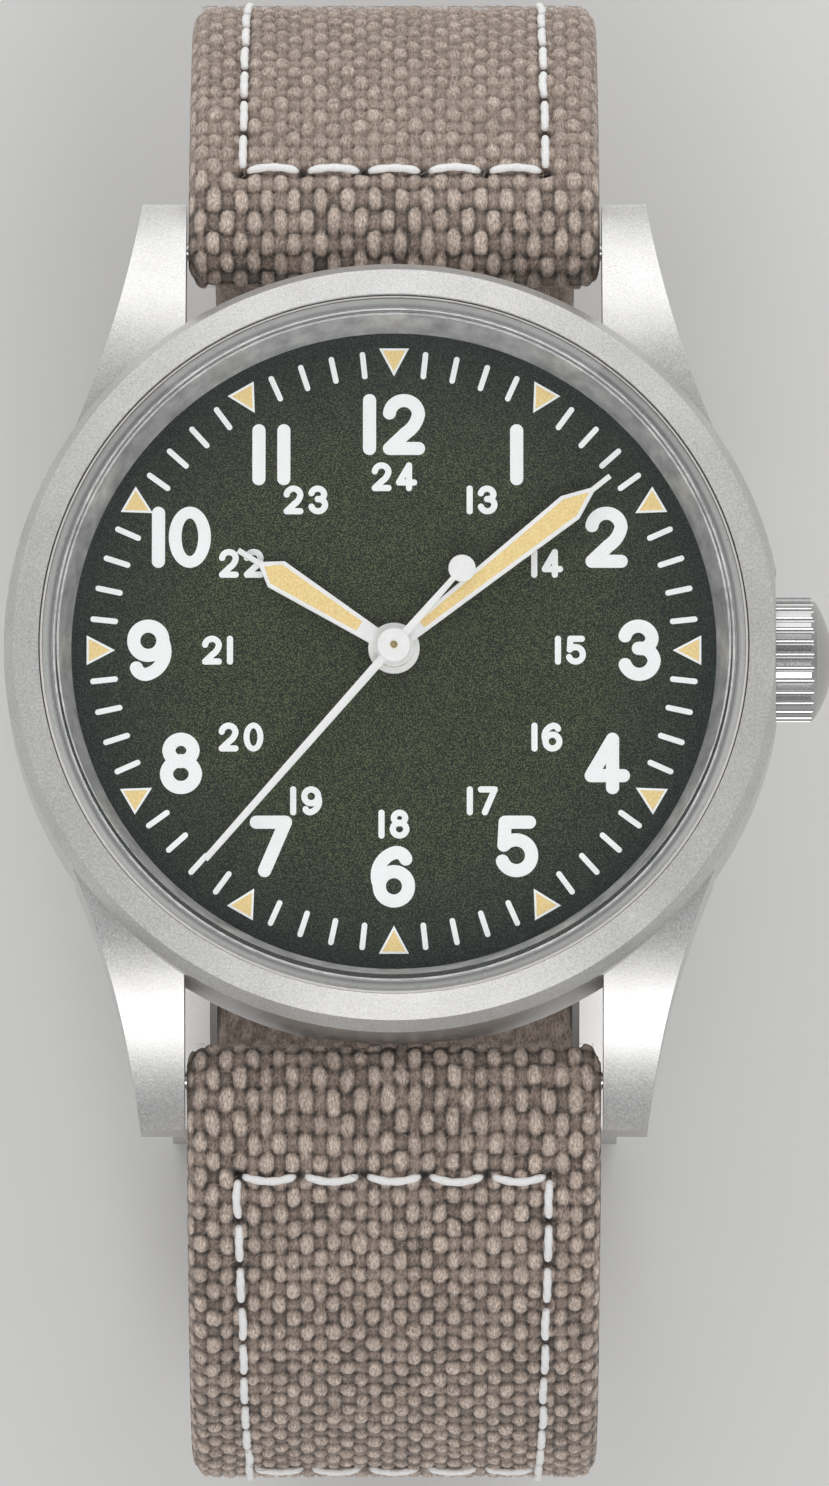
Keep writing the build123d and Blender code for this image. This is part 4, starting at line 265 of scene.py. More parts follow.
def glass_material():
    """Crystal: clear to the camera, and letting light through to the dial."""
    material, tree, shader = new_material("crystal_glass")
    shader.inputs["Base Color"].default_value = (0.97, 0.98, 0.98, 1)
    shader.inputs["Transmission Weight"].default_value = 1.0
    shader.inputs["IOR"].default_value = 1.5
    tree.links.new(scaled(tree, noise(tree, 0.4), 0.0, 0.02), shader.inputs["Roughness"])
    path = add(tree, "ShaderNodeLightPath")
    clear = add(tree, "ShaderNodeBsdfTransparent")
    choice = add(tree, "ShaderNodeMixShader")
    tree.links.new(path.outputs["Is Shadow Ray"], choice.inputs[0])
    tree.links.new(shader.outputs[0], choice.inputs[1])
    tree.links.new(clear.outputs[0], choice.inputs[2])
    output = next(n for n in tree.nodes if n.type == "OUTPUT_MATERIAL")
    tree.links.new(choice.outputs[0], output.inputs["Surface"])
    return material


def rings_painted_light_material(inner, outer):
    """Polished rings between two radii: the bezel's inner wall and the seat under the crystal, coloured
    with bright bands of painted reflection and a thin dark line of painted shade.
    """
    material, tree, shader = new_material("bezel_rings_painted_light")
    # The near-white stops are painted reflections and the near-black stop at 0.635 is a painted shade line.
    stops = [
        (0.00, (0.95, 0.95, 0.94)), (0.08, (0.55, 0.54, 0.53)), (0.22, (0.80, 0.80, 0.79)),
        (0.34, (0.98, 0.98, 0.97)), (0.60, (0.98, 0.98, 0.97)), (0.635, (0.14, 0.13, 0.12)),
        (0.67, (0.86, 0.83, 0.80)), (0.80, (0.78, 0.73, 0.68)), (0.90, grey(0.95)), (1.0, grey(0.95)),
    ]
    tree.links.new(ramp(tree, radius_share(tree, inner, outer), stops), shader.inputs["Base Color"])
    shader.inputs["Metallic"].default_value = 0.25
    tree.links.new(scaled(tree, noise(tree, 0.7, 3.0), 0.22, 0.36, 0.3, 0.7), shader.inputs["Roughness"])
    return material


def cloth_material(name, painted_shade, light, fuzz):
    """Woven cloth: painted shade deep between the yarns, a painted highlight on their tops, and a tone for
    each crossing.
    """
    material, tree, shader = new_material(name)
    weave = add(tree, "ShaderNodeAttribute", attribute_name="weave")
    parts = add(tree, "ShaderNodeSeparateColor")
    tree.links.new(weave.outputs["Color"], parts.inputs["Color"])
    # The relief picks the colour: painted shade, near black, deep between the yarns and a painted highlight
    # on their tops.
    depth = ramp(tree, parts.outputs["Red"], [
        (0.0, times(painted_shade, 0.08)), (0.28, times(painted_shade, 0.38)), (0.50, painted_shade), (0.80, light),
        (1.0, times(light, 1.18))])
    tone = ramp(tree, parts.outputs["Green"], [(0.0, (0.94, 0.935, 0.93)), (1.0, grey(1.06))])
    place = add(tree, "ShaderNodeTexCoord").outputs["Object"]
    slanted = add(tree, "ShaderNodeMapping")
    slanted.inputs["Rotation"].default_value = (0, 0, math.radians(24))
    slanted.inputs["Scale"].default_value = (2.6, 1, 1)
    tree.links.new(place, slanted.inputs["Vector"])
    strands = noise(tree, 4.2, 5.0, 0.8, slanted.outputs["Vector"])
    fibre = ramp(tree, strands, [(0.34, (0.34, 0.32, 0.30)), (0.50, grey(1)), (0.64, (1.62, 1.64, 1.66))])
    colour = mixed(tree, "MULTIPLY", 1.0, depth, tone)
    tree.links.new(mixed(tree, "MULTIPLY", 1.0, colour, fibre), shader.inputs["Base Color"])
    shader.inputs["Roughness"].default_value = 0.92
    shader.inputs["Sheen Weight"].default_value = fuzz
    shader.inputs["Sheen Roughness"].default_value = 0.5
    bump(tree, shader, strands, 0.12)
    return material


steel = (0.60, 0.595, 0.585)
canvas = cloth_material("canvas", (0.36, 0.280, 0.228), (0.60, 0.490, 0.415), 0.25)
lining = cloth_material("lining", (0.20, 0.155, 0.125), (0.34, 0.275, 0.232), 0.10)
fibre_paint = grained("fibre", (0.42, 0.345, 0.29), 0.8, 0.0, 3.0, 0.001, 0.35)
thread = grained("thread", (0.88, 0.88, 0.87), 0.75, 0.0, 9.0, 0.03, 0.12)
finish_of_slot = {
    "case_steel": grained("blasted_steel", steel, 0.42, 1.0, 10.0, 0.005, 0.26, 0.06),
    "buckle_steel": grained("buckle_steel", steel, 0.42, 1.0, 14.0, 0.003, 0.16, 0.05),
    "spring_bar_steel": grained("bar_steel", grey(0.60), 0.25, 1.0, 5.0, 0.003),
    "stem_steel": grained("work_steel", grey(0.58), 0.28, 1.0, 4.0, 0.003),
    "movement_plate": grained("plate_nickel", (0.72, 0.72, 0.70), 0.32, 1.0, 6.0, 0.004),
    "wheel_brass": grained("gilt_brass", (0.75, 0.58, 0.28), 0.26, 1.0, 5.0, 0.003),
    "ruby": grained("ruby", (0.55, 0.02, 0.10), 0.12, 0.0, 2.0, 0.001),
    "gasket": grained("rubber", grey(0.05), 0.55, 0.0, 6.0, 0.006),
    "movement_ring": grained("ring_plastic", grey(0.12), 0.55, 0.0, 5.0, 0.006),
    "dial_print": grained("print_white", (0.93, 0.935, 0.935), 0.45, 0.0, 12.0, 0.004, 0.05, 0.05),
    "hand_steel": grained("hand_polish", (0.95, 0.945, 0.935), 0.36, 0.25, 3.0, 0.001, 0.03, 0.03),
    "rehaut": rehaut_material(),
    "dial_green": dial_material(),
    "lume": paste_material(),
    "crystal": glass_material(),
    "canvas": canvas,
}
finish_of_node = {
    "crown": grained("crown_steel", (0.44, 0.435, 0.43), 0.24, 1.0, 14.0, 0.002, 0.10, 0.05),
    "crystal_gasket": nylon_material(),
}
for part in frame["record"]["subparts"]:
    mesh = nodes[part["node"]].data
    mesh.materials.clear()
    mesh.materials.append(finish_of_node.get(part["node"], finish_of_slot[part["material_slot"]]))

wall_radius = 16.45
seat_radius = 17.31
bezel_mesh = nodes["bezel"].data
bezel_mesh.materials.append(rings_painted_light_material(wall_radius, seat_radius))
for face in bezel_mesh.polygons:
    face.material_index = int(math.hypot(face.center.x, face.center.y) / MM < seat_radius)


# Line of the strap, seen from the side


def lengths_along(points):
    """Distance travelled up to each point of a line."""
    steps = np.linalg.norm(np.diff(points, axis=0), axis=1)
    return np.concatenate([[0], np.cumsum(steps)])


def across_and_up(angles):
    return np.stack([np.cos(angles), np.sin(angles)], axis=1)


def steps_in(length):
    """Number of steps in a length, where a length that is a whole number of steps may be a hair short."""
    hair = 1e-6
    return max(2, int(length / STEP + hair))


def run(place, angle, legs):
    """Points and headings along a centre line of arcs (radius, turn in degrees) and lines (length,)."""
    place = np.array(place)
    points = [place[None, :]]
    headings = [np.array([angle])]
    for leg in legs:
        if len(leg) == 1:
            count = steps_in(leg[0])
            along = np.linspace(0, leg[0], count + 1)[1:, None]
            points.append(place + along * np.array([[math.cos(angle), math.sin(angle)]]))
            headings.append(np.full(count, angle))
        else:
            radius = leg[0]
            turn = math.radians(leg[1])
            side = 1 if turn > 0 else -1
            centre = place + side * radius * np.array([-math.sin(angle), math.cos(angle)])
            angles = angle + np.linspace(0, turn, steps_in(abs(turn) * radius) + 1)[1:]
            points.append(centre - side * radius * np.stack([-np.sin(angles), np.cos(angles)], axis=1))
            headings.append(angles)
            angle = angles[-1]
        place = points[-1][-1]
    return np.concatenate(points), np.concatenate(headings)


def tangent(first, first_radius, second, second_radius, side):
    """Direction from both centres to the outer tangent line of two circles."""
    gap = np.array(second) - np.array(first)
    turn = math.acos((first_radius - second_radius) / np.hypot(*gap))
    return math.atan2(gap[1], gap[0]) + side * turn


def round_the_bar(centre, first, last):
    """Points of a loop round a bar between two angles, and their normals."""
    out = across_and_up(np.linspace(first, last, steps_in(abs(last - first) * LOOP)))
    return np.array(centre) + LOOP * out, out


def outline_rows(points, normals, middle):
    """Rows of y, z, normal y, normal z and depth to the middle of the cloth."""
    return np.column_stack([points, normals, np.broadcast_to(middle, len(points))])


def outline(legs, far_bar):
    """The closed side outline of a strap half: down its outer face, round its far end and back inside."""
    blend = 1.5          # where the far loop leaves the straight
    turned_back = 5.0    # how far the cloth is turned back from the lug
    slope_points = 240
    spread = 1.35        # how far the middle moves over towards the bar
    line, headings = run(start, -leave, legs)
    out = np.stack([-np.sin(headings), np.cos(headings)], axis=1)
    rows = [outline_rows(line + HALF * out, out, HALF)]
    inner_line, inner_out = line, -out
    if far_bar is not None:
        stop = line[-1] - blend * np.array([math.cos(headings[-1]), math.sin(headings[-1])])
        touch = tangent(far_bar, LOOP, stop, HALF, 1)
        ring, ring_out = round_the_bar(far_bar, -math.pi / 2, touch - 2 * math.pi)
        rows.append(outline_rows(ring, ring_out, LOOP - TUBE)[1:])
        keep = line[:, 0] > stop[0]
        keep |= np.abs(line[:, 1] - line[-1, 1]) > HALF
        inner_line, inner_out = line[keep], -out[keep]
    far = lengths_along(inner_line) > turned_back
    touch = tangent(BAR, LOOP, inner_line[far][0], HALF, -1)
    back = inner_line[far][::-1]
    back_out = inner_out[far][::-1]
    rows.append(outline_rows(back + HALF * back_out, back_out, HALF))
    ring, ring_out = round_the_bar(BAR, touch + 2 * math.pi if touch < 0 else touch, math.pi / 2 - leave)
    first = back[-1] + HALF * back_out[-1]
    share = np.linspace(0, 1, slope_points)[1:-1, None]
    slope = first * (1 - share) + ring[0] * share
    to_go = (1 - share[:, 0]) * np.hypot(*(ring[0] - first))
    beside_bar = LOOP - np.sqrt(np.maximum(TUBE**2 - to_go**2, 0))
    before_bar = HALF + spread * np.clip(1 - to_go / turned_back, 0, 1)
    middle = np.where(to_go < TUBE, beside_bar, before_bar)
    rows.append(outline_rows(slope, np.tile(ring_out[0], (len(slope), 1)), middle))
    rows.append(outline_rows(ring, ring_out, LOOP - TUBE))
    return np.concatenate(rows), len(line)


def plain_width(y, z):
    """Half the width of the strap, tapered from the lugs to the layers under the watch."""
    depths = [0.0, 8.0, 23.0, 37.0]
    half_widths = [10.13, 10.05, 10.0, 9.0]
    return np.interp(-z, depths, half_widths)


def circle_through(a, b, c):
    """Centre and radius of the circle through three points."""
    d = 2 * (a[0] * (b[1] - c[1]) + b[0] * (c[1] - a[1]) + c[0] * (a[1] - b[1]))
    x = ((a @ a) * (b[1] - c[1]) + (b @ b) * (c[1] - a[1]) + (c @ c) * (a[1] - b[1])) / d
    y = ((a @ a) * (c[0] - b[0]) + (b @ b) * (a[0] - c[0]) + (c @ c) * (b[0] - a[0])) / d
    return x, y, math.hypot(x - a[0], y - a[1])


def tail_width(y, z):
    """Half the width of the lower half: tapered, then the pointed tail."""
    wide = 10.0
    tail_top = -20
    narrowest = EDGE + 0.05
    shoulder = np.array([wide, -TAIL_POINT])
    side = np.array([wide * 2 / 3, -TAIL_POINT / 3])
    centre_x, centre_y, radius = circle_through(shoulder, side, np.zeros(2))
    from_end = -y - tail_end
    point = centre_x + np.sqrt(np.maximum(radius * radius - (from_end - centre_y) ** 2, 0))
    point = np.where((from_end > -TAIL_POINT) & (z < tail_top), point, np.inf)
    return np.maximum(np.minimum(plain_width(y, z), point), narrowest)


# Cloth


def drop(distance, half, reach=EDGE):
    """How far a face has sunk towards the middle of the cloth near an edge."""
    close = np.clip(1 - distance / reach, 0, 1)
    return half * (1 - np.sqrt(1 - close * close))


def smooth_noise(shape, cell, seed):
    """Smooth random field over a grid, in -1 to 1; cell is in grid steps along each axis."""
    rng = np.random.default_rng(seed)
    size = [max(2, int(n / c) + 3) for n, c in zip(shape, cell)]
    field = rng.uniform(-1, 1, size)
    places = [np.arange(n) / c for n, c in zip(shape, cell)]
    low = [place.astype(int) for place in places]
    part = [place - base for place, base in zip(places, low)]
    part = [p * p * (3 - 2 * p) for p in part]
    a, b = np.ix_(low[0], low[1])
    p, q = part[0][:, None], part[1][None, :]
    return ((field[a, b] * (1 - p) + field[a + 1, b] * p) * (1 - q)
            + (field[a, b + 1] * (1 - p) + field[a + 1, b + 1] * p) * q)


def drift(shape, small_cell, large_cell, seed):
    """A small and a large smooth wave together, for the uneven run of the yarns."""
    return smooth_noise(shape, small_cell, seed) + smooth_noise(shape, large_cell, seed + 3)


def weave_height(along, across, seed):
    """Relief of a plain weave, 0 at its highest. along counts picks; across is in millimetres.

    Returns the relief in millimetres, the same from 0 to 1, which sets the cloth's painted shade, and a
    tone for each crossing.
    """
    crossings = (4096, 128)
    warp_wave, warp_round, warp_uneven = 0.145, 0.185, 0.034
    weft_wave, weft_round, weft_uneven = 0.06, 0.15, 0.020
    weft_lower = 0.05
    wave_power = 0.65
    warp_half, warp_taper, weft_half = 0.50, 0.45, 0.49
    fluff = 0.016
    lowest, crest = -0.01, 0.34
    depth = 0.33
    tone_shift, weft_shift = 777, 1111
    rng = np.random.default_rng(seed)
    tones = rng.uniform(0, 1, crossings)
    lifts = rng.normal(0, 1, crossings)
    yarn = np.floor(across / WARP).astype(int)
    beside = across / WARP - yarn - 0.5
    pick = np.round(along).astype(int)
    past = along - pick
    even = np.cos(np.pi * (along + yarn))
    even = np.sign(even) * np.abs(even) ** wave_power
    over_round = np.sqrt(np.maximum(1 - (beside / (warp_half - warp_taper * past**2)) ** 2, 0))
    under_round = np.sqrt(np.maximum(1 - (past / weft_half) ** 2, 0))
    odd = -np.cos(np.pi * (across / WARP - 0.5 + pick))
    row = pick % crossings[0]
    column = (yarn + crossings[1] // 2) % crossings[1]
    weft_lifts = lifts[(row + weft_shift) % crossings[0], column]
    weft_tones = tones[(row + tone_shift) % crossings[0], column]
    over = warp_wave * even + warp_round * over_round + warp_uneven * lifts[row, column]
    under = weft_wave * odd - weft_lower + weft_round * under_round + weft_uneven * weft_lifts
    height = np.maximum(over, under) + rng.normal(0, fluff, across.shape)
    relief = np.clip((height - lowest) / depth, 0, 1)
    tone = np.where(over >= under, tones[row, column], weft_tones)
    return np.minimum(height - crest, 0), relief, tone


def put(name, mesh, node, body):
    """Places a mesh of its own that rides on a body and takes a node's place."""
    piece = bpy.data.objects.new(name, mesh)
    bpy.context.scene.collection.objects.link(piece)
    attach(piece, body)
    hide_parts(node)


def grid_piece(name, points, weave, keep, material, node, body):
    """A mesh from a grid of points in millimetres, with its colour attribute."""
    rows, columns = points.shape[:2]
    index = np.arange(rows * columns).reshape(rows, columns)
    faces = np.stack([index[:-1, :-1], index[:-1, 1:], index[1:, 1:], index[1:, :-1]], axis=-1)
    faces = faces[keep].reshape(-1, 4)
    used = np.unique(faces)
    renumber = np.zeros(rows * columns, int)
    renumber[used] = np.arange(len(used))
    faces = renumber[faces]
    mesh = bpy.data.meshes.new(name)
    mesh.vertices.add(len(used))
    mesh.vertices.foreach_set("co", (points.reshape(-1, 3)[used] * MM).ravel())
    mesh.loops.add(len(faces) * 4)
    mesh.loops.foreach_set("vertex_index", faces.ravel())
    mesh.polygons.add(len(faces))
    mesh.polygons.foreach_set("loop_start", np.arange(len(faces)) * 4)
    mesh.polygons.foreach_set("use_smooth", np.ones(len(faces), bool))
    colours = mesh.color_attributes.new("weave", "FLOAT_COLOR", "POINT")
    values = np.ones((len(used), 4))
    values[:, :3] = weave.reshape(-1, 3)[used]
    colours.data.foreach_set("color", values.ravel())
    mesh.materials.append(material)
    mesh.update()
    mesh.validate()
    put(name, mesh, node, body)


class Half:
    """A strap half: its outline, its width along it, its openings and its stitches.

    u is the distance along its outline from the lug, x the place across it, both in millimetres.
    side is 1 towards 12 and -1 towards 6, which mirrors y.
    """

    WRAP_ANGLE = 181        # degrees that the cloth turns round the lug bar
    JOIN = 2.5              # how far before the loop the inner face gives way to the outer one
    NEAR_PITCH = 0.105      # spacing of the grid's rows in each band
    FAR_PITCH = 0.19
    INSIDE_PITCH = 0.30
    OUTER_COLUMNS = 212
    INSIDE_COLUMNS = 100
    EDGE_COLUMNS = 9
    OPENINGS_BELOW = -30    # only the layers under the watch have openings
    PIECE_POINTS = 95000    # largest number of grid points in a piece

    def __init__(self, name, side, legs, far_bar, width_at, openings, fine_to):
        self.name = name
        self.side = side
        self.width_at = width_at
        self.openings = openings
        self.fine_to = fine_to
        self.rows, outer_count = outline(legs, far_bar)
        self.place = lengths_along(self.rows[:, :2])
        self.total = self.place[-1]
        self.outer_end = self.place[outer_count - 1]
        self.loop_start = self.total - LOOP * math.radians(self.WRAP_ANGLE)
        self.holes = []
        self.paths = []

    def sample(self, u):
        u = np.mod(u, self.total)
        return [np.interp(u, self.place, column) for column in self.rows.T]

    def surface(self, u, x, lift):
        """A point over the outer face, in millimetres, and its normal."""
        y, z, ny, nz, _ = self.sample(u)
        point = np.stack([x, self.side * (y + ny * lift), z + nz * lift + dial_level], axis=-1)
        normal = np.stack([np.zeros_like(y), self.side * ny, nz], axis=-1)
        return point, normal

    def picks(self, u):
        """Number of picks up to each place: closer on the flat, drawn out round the bar."""
        drawn_out = 0.38
        bar_end = 2.6
        blend = 0.5
        points = 8001
        places = np.linspace(-self.total, self.total, points)
        pitch = WEFT + drawn_out / (1 + np.exp((places - bar_end) / blend))
        counted = np.concatenate([[0], np.cumsum(np.diff(places) / pitch[1:])])
        return np.interp(u, places, counted)

    def build(self, seed):
        """Near and far outer bands and the inner one, each ending where the next one starts."""
        near = np.arange(self.loop_start - self.total - self.JOIN, self.fine_to, self.NEAR_PITCH)
        far = np.arange(self.fine_to, self.outer_end, self.FAR_PITCH)
        inner = np.arange(self.outer_end, self.loop_start - self.JOIN, self.INSIDE_PITCH)
        self.band("near", np.append(near, far[0]), False, seed)
        self.band("far", np.append(far, inner[0]), False, seed)
        self.band("inside", np.append(inner, near[0] + self.total), True, seed)

    def band(self, label, u, inside, seed):
        """A grid of points from edge to edge of the strap, with the relief and tones of its weave and, on
        the outer face, painted shade at the stitch holes.
        """
        wander_picks, sway_across, unevenness = 0.15, 0.055, 0.04
        lining_relief = 0.25
        hole_shade = 0.95
        columns = self.INSIDE_COLUMNS if inside else self.OUTER_COLUMNS
        y, z, ny, nz, middle = (column[:, None] for column in self.sample(u))
        width = self.width_at(y - ny * middle, z - nz * middle)
        turns = np.linspace(0, math.pi / 2, self.EDGE_COLUMNS)[None, :]
        edge = EDGE * (1 - np.sin(turns))
        arc = lengths_along(np.stack([edge[0], HALF * (1 - np.cos(turns[0]))], axis=1))[None, :]
        flat = np.linspace(-1, 1, columns)[None, :] * (width - EDGE)
        x = np.concatenate([(edge - width)[:, :0:-1], flat, (width - edge)[:, 1:]], axis=1)
        rim = width - EDGE + arc
        across = np.concatenate([-rim[:, :0:-1], flat, rim[:, 1:]], axis=1)
        rims = np.tile(edge, (len(u), 1))
        distance = np.concatenate([rims[:, :0:-1], width - np.abs(flat), rims[:, 1:]], axis=1)
        x, shift, distance, keep = self.cut_openings(x, y, z, distance)
        wander = drift(x.shape, (9, 8), (30, 40), seed + 1)
        sway = drift(x.shape, (12, 9), (50, 30), seed + 2)
        picks = self.picks(u)[:, None]
        dent, relief, tone = weave_height(
            picks + wander_picks * wander, across + sway_across * sway, seed)
        if self.side > 0:
            relief = self.calmed(u[:, None], relief)
        if inside:
            dent = lining_relief * dent
            relief = 0.45 + 0.4 * relief
            tone = 0.35 + 0.3 * tone
        swell = smooth_noise(x.shape, (30, 30), seed + 3)
        sunk = np.minimum(drop(distance, middle) - dent + unevenness * (1 - swell), middle)
        painted_shade = np.zeros_like(x)
        if not inside:
            sunk, painted_shade = self.stitch_marks(u, x, sunk)
        # Painted shade at the stitch holes lowers the relief that the cloth's colour is read from.
        relief = relief * (1 - hole_shade * painted_shade)
        points = np.stack([x, self.side * (y + shift - ny * sunk), z - nz * sunk + dial_level], axis=-1)
        weave = np.stack([relief, tone, painted_shade], axis=-1)
        if self.side < 0:
            points, weave, keep = points[:, ::-1], weave[:, ::-1], keep[:, ::-1]
        rows = self.PIECE_POINTS // x.shape[1]
        for number, first in enumerate(range(0, len(u) - 1, rows)):
            last = min(len(u) - 1, first + rows)
            grid_piece(f"{self.name}_{label}_{number}", points[first:last + 1], weave[first:last + 1],
                       keep[first:last], lining if inside else canvas, self.name, "watch")

    def calmed(self, u, relief):
        """Evens out the shading of the weave past the loop round the lug bar."""
        starts, full_after = 2.2, 2.0
        share = 0.5
        mean = 0.66
        return relief + np.clip((u - starts) / full_after, 0, 1) * share * (mean - relief)

    def cut_openings(self, x, y, z, distance):
        """Draws the grid's rows out to the rims of the openings and leaves out the faces inside them."""
        rim_reach = 0.5
        least_apart = 1e-6
        shift = np.zeros_like(x)
        keep = np.ones((x.shape[0] - 1, x.shape[1] - 1), bool)
        low = z < self.OPENINGS_BELOW
        for first, last, radius in self.openings:
            past = y - np.clip(y, first, last)
            apart = np.hypot(x, past)
            within = (apart < radius) & low
            keep &= ~(within[:-1, :-1] & within[1:, :-1] & within[:-1, 1:] & within[1:, 1:])
            grow = np.where(within, radius / np.maximum(apart, least_apart), 1.0)
            x = np.where(within, x * grow, x)
            shift = np.where(within, past * (grow - 1), shift)
            gap = np.where(low, np.maximum(apart - radius, 0), np.inf)
            distance = np.minimum(distance, gap / rim_reach * EDGE)
        return x, shift, distance, keep

    def stitch_marks(self, u, x, sunk):
        """Presses the cloth in under the stitches and at their holes, and paints shade into the holes."""
        seam_depth, seam_reach = 0.10, 0.32
        hole_depth, hole_reach, shade_reach = 0.34, 0.24, 0.30
        farthest = 1.2
        painted_shade = np.zeros_like(x)
        down = u[:, None]
        for path_u, path_x in self.paths:
            if path_u[0] < path_u[-1]:
                beside = np.clip(down, path_u.min(), path_u.max())
                off = np.hypot(down - beside, x - np.interp(beside, path_u, path_x))
            else:
                off = np.hypot(down - path_u[0], x - np.clip(x, path_x.min(), path_x.max()))
            sunk = sunk + seam_depth * np.exp(-(off / seam_reach) ** 2)
        for hole_u, hole_x in self.holes:
            near = np.abs(u - hole_u) < farthest
            off = np.hypot(down[near] - hole_u, x[near] - hole_x)
            sunk[near] += hole_depth * np.exp(-(off / hole_reach) ** 2)
            # Painted shade in and round each hole.
            painted_shade[near] = np.maximum(painted_shade[near], np.exp(-(off / shade_reach) ** 2))
        return sunk, painted_shade


# Stitches and loose fibres


def unit(vectors):
    hair = 1e-9
    return vectors / (np.linalg.norm(vectors, axis=1)[:, None] + hair)


def tube_faces(base, rings, sides):
    """Faces between the rings of a tube whose first vertex has the number base."""
    faces = []
    for k in range(rings - 1):
        for j in range(sides):
            a = base + k * sides + j
            b = base + k * sides + (j + 1) % sides
            faces.append((a, b, b + sides, a + sides))
    return faces


def thread_mesh(half, stitches):
    """Twisted two-ply thread: each stitch is a run of points with the cloth's normals."""
    radius = 0.20
    twist_length = 1.5
    ply_depth = 0.08
    flatness = 0.85
    end_share, end_radius = 0.16, 0.55
    sides = 10
    verts, faces = [], []
    for line, up in stitches:
        along = unit(np.gradient(line, axis=0))
        beside = unit(np.cross(along, up))
        above = np.cross(beside, along)
        travelled = lengths_along(line)
        share = travelled / travelled[-1]
        swell = np.clip(np.minimum(share, 1 - share) / end_share, 0, 1)
        thick = radius * (end_radius + (1 - end_radius) * np.sqrt(1 - (1 - swell) ** 2))
        base = len(verts)
        for k in range(len(line)):
            twist = 2 * math.pi * travelled[k] / twist_length
            for j in range(sides):
                angle = 2 * math.pi * j / sides
                r = thick[k] * (1 + ply_depth * math.cos(2 * (angle - twist)))
                up_share = flatness * math.sin(angle)
                verts.append(line[k] + r * (math.cos(angle) * beside[k] + up_share * above[k]))
        faces += tube_faces(base, len(line), sides)
        faces.append([base + j for j in range(sides)][::-1])
        faces.append([base + (len(line) - 1) * sides + j for j in range(sides)])
    name = f"{half.name}_stitches"
    mesh = bpy.data.meshes.new(name)
    mesh.from_pydata([tuple(v * MM) for v in verts], [], faces)
    mesh.polygons.foreach_set("use_smooth", np.ones(len(mesh.polygons), bool))
    mesh.materials.append(thread)
    mesh.update()
    put(name, mesh, half.name, "watch")


def stitch_line(half, path, pitch, gap, jitter=0.05, sag=0.0):
    """Stitches along a path of (u, x) points on a strap half, as pairs of centres and normals."""
    rise = 0.24
    sunk = 0.24
    fullness = 0.6
    points = 17
    path = np.array(path, float)
    lengths = lengths_along(path)
    direction = (path[-1] - path[0]) / np.hypot(*(path[-1] - path[0]))
    count = max(1, round(lengths[-1] / pitch))
    pitch = lengths[-1] / count
    share = np.linspace(0, 1, points)
    stitches = []
    for number in range(count):
        first = number * pitch + gap / 2
        last = (number + 1) * pitch - gap / 2
        place = first + (last - first) * share
        side = (chance.normal(0, jitter) - sag) * np.sin(np.pi * share)
        u = np.interp(place, lengths, path[:, 0]) - direction[1] * side
        x = np.interp(place, lengths, path[:, 1]) + direction[0] * side
        stitches.append(half.surface(u, x, rise * np.sin(np.pi * share) ** fullness - sunk))
        half.holes.append(tuple(np.interp(first - gap / 2, lengths, path[:, k]) for k in (0, 1)))
    half.holes.append(tuple(path[-1]))
    lengthwise = abs(direction[0]) > abs(direction[1])
    half.paths.append((path[:, 0] if lengthwise else np.full(2, path[0, 0]), path[:, 1]))
    return stitches


def seams(half, near, halfway, far, near_x, halfway_x, bow):
    """A seam along each side of a half, and rows across it by the lug, halfway and at the far end."""
    far_x = halfway_x - 0.4
    side_pitch, side_gap = 2.35, 0.42
    near_pitch, halfway_pitch, far_pitch, row_gap = 3.0, 2.9, 2.8, 0.5
    stitches = []
    for left in (-1, 1):
        path = [(near, left * near_x), (halfway, left * halfway_x), (far, left * far_x)]
        stitches += stitch_line(half, path, side_pitch, side_gap)
    near_row = [(near, -near_x), (near, near_x)]
    halfway_row = [(halfway, -halfway_x), (halfway, halfway_x)]
    far_row = [(far, -far_x), (far, far_x)]
    stitches += stitch_line(half, near_row, near_pitch, row_gap, jitter=0.03, sag=bow)
    stitches += stitch_line(half, halfway_row, halfway_pitch, row_gap)
    stitches += stitch_line(half, far_row, far_pitch, row_gap)
    return stitches


def loose_fibres(half, first, last, count):
    """Short fine fibres that have come loose from the yarns, lying on the cloth."""
    start_x, reach_x = 9.6, 9.7
    shortest, longest = 0.25, 0.85
    thinnest, thickest = 0.007, 0.012
    bend, highest = 0.8, 0.07
    sunk = 0.03
    sides = 3
    share = np.linspace(0, 1, 7)
    fibres = []
    for _ in range(count):
        u = chance.uniform(first, last)
        x = chance.uniform(-start_x, start_x)
        length = chance.uniform(shortest, longest)
        angle = chance.uniform(0, 2 * math.pi)
        curl = chance.normal(0, bend)
        rise = chance.uniform(0.0, highest)
        turn = angle + curl * share
        u = u + np.cumsum(np.cos(turn)) * length / len(share)
        x = np.clip(x + np.cumsum(np.sin(turn)) * length / len(share), -reach_x, reach_x)
        fibres.append(half.surface(u, x, rise * np.sin(np.pi * share) - sunk))
    verts, faces = [], []
    for line, up in fibres:
        along = unit(np.gradient(line, axis=0))
        beside = unit(np.cross(along, up))
        thick = chance.uniform(thinnest, thickest)
        faces += tube_faces(len(verts), len(line), sides)
        for k in range(len(line)):
            for j in range(sides):
                angle = 2 * math.pi * j / sides
                verts.append(line[k] + thick * (math.cos(angle) * beside[k] + math.sin(angle) * up[k]))
    name = f"{half.name}_fibres"
    mesh = bpy.data.meshes.new(name)
    mesh.from_pydata([tuple(v * MM) for v in verts], [], faces)
    mesh.materials.append(fibre_paint)
    put(name, mesh, half.name, "watch")


# Strap halves

# An opening is its first and last y and its radius
hole_first = 9.7
hole_pitch = 6.5
hole_radius = 1.1
hole_places = [hole_first - hole_pitch * k for k in (-1, 1, 2, 3, 4)]
strap_holes = [(place, place, hole_radius) for place in hole_places]
tongue_hole = (8.65, 10.75, 1.15)
tongue_slot = (-9.0, -4.2, 1.05)

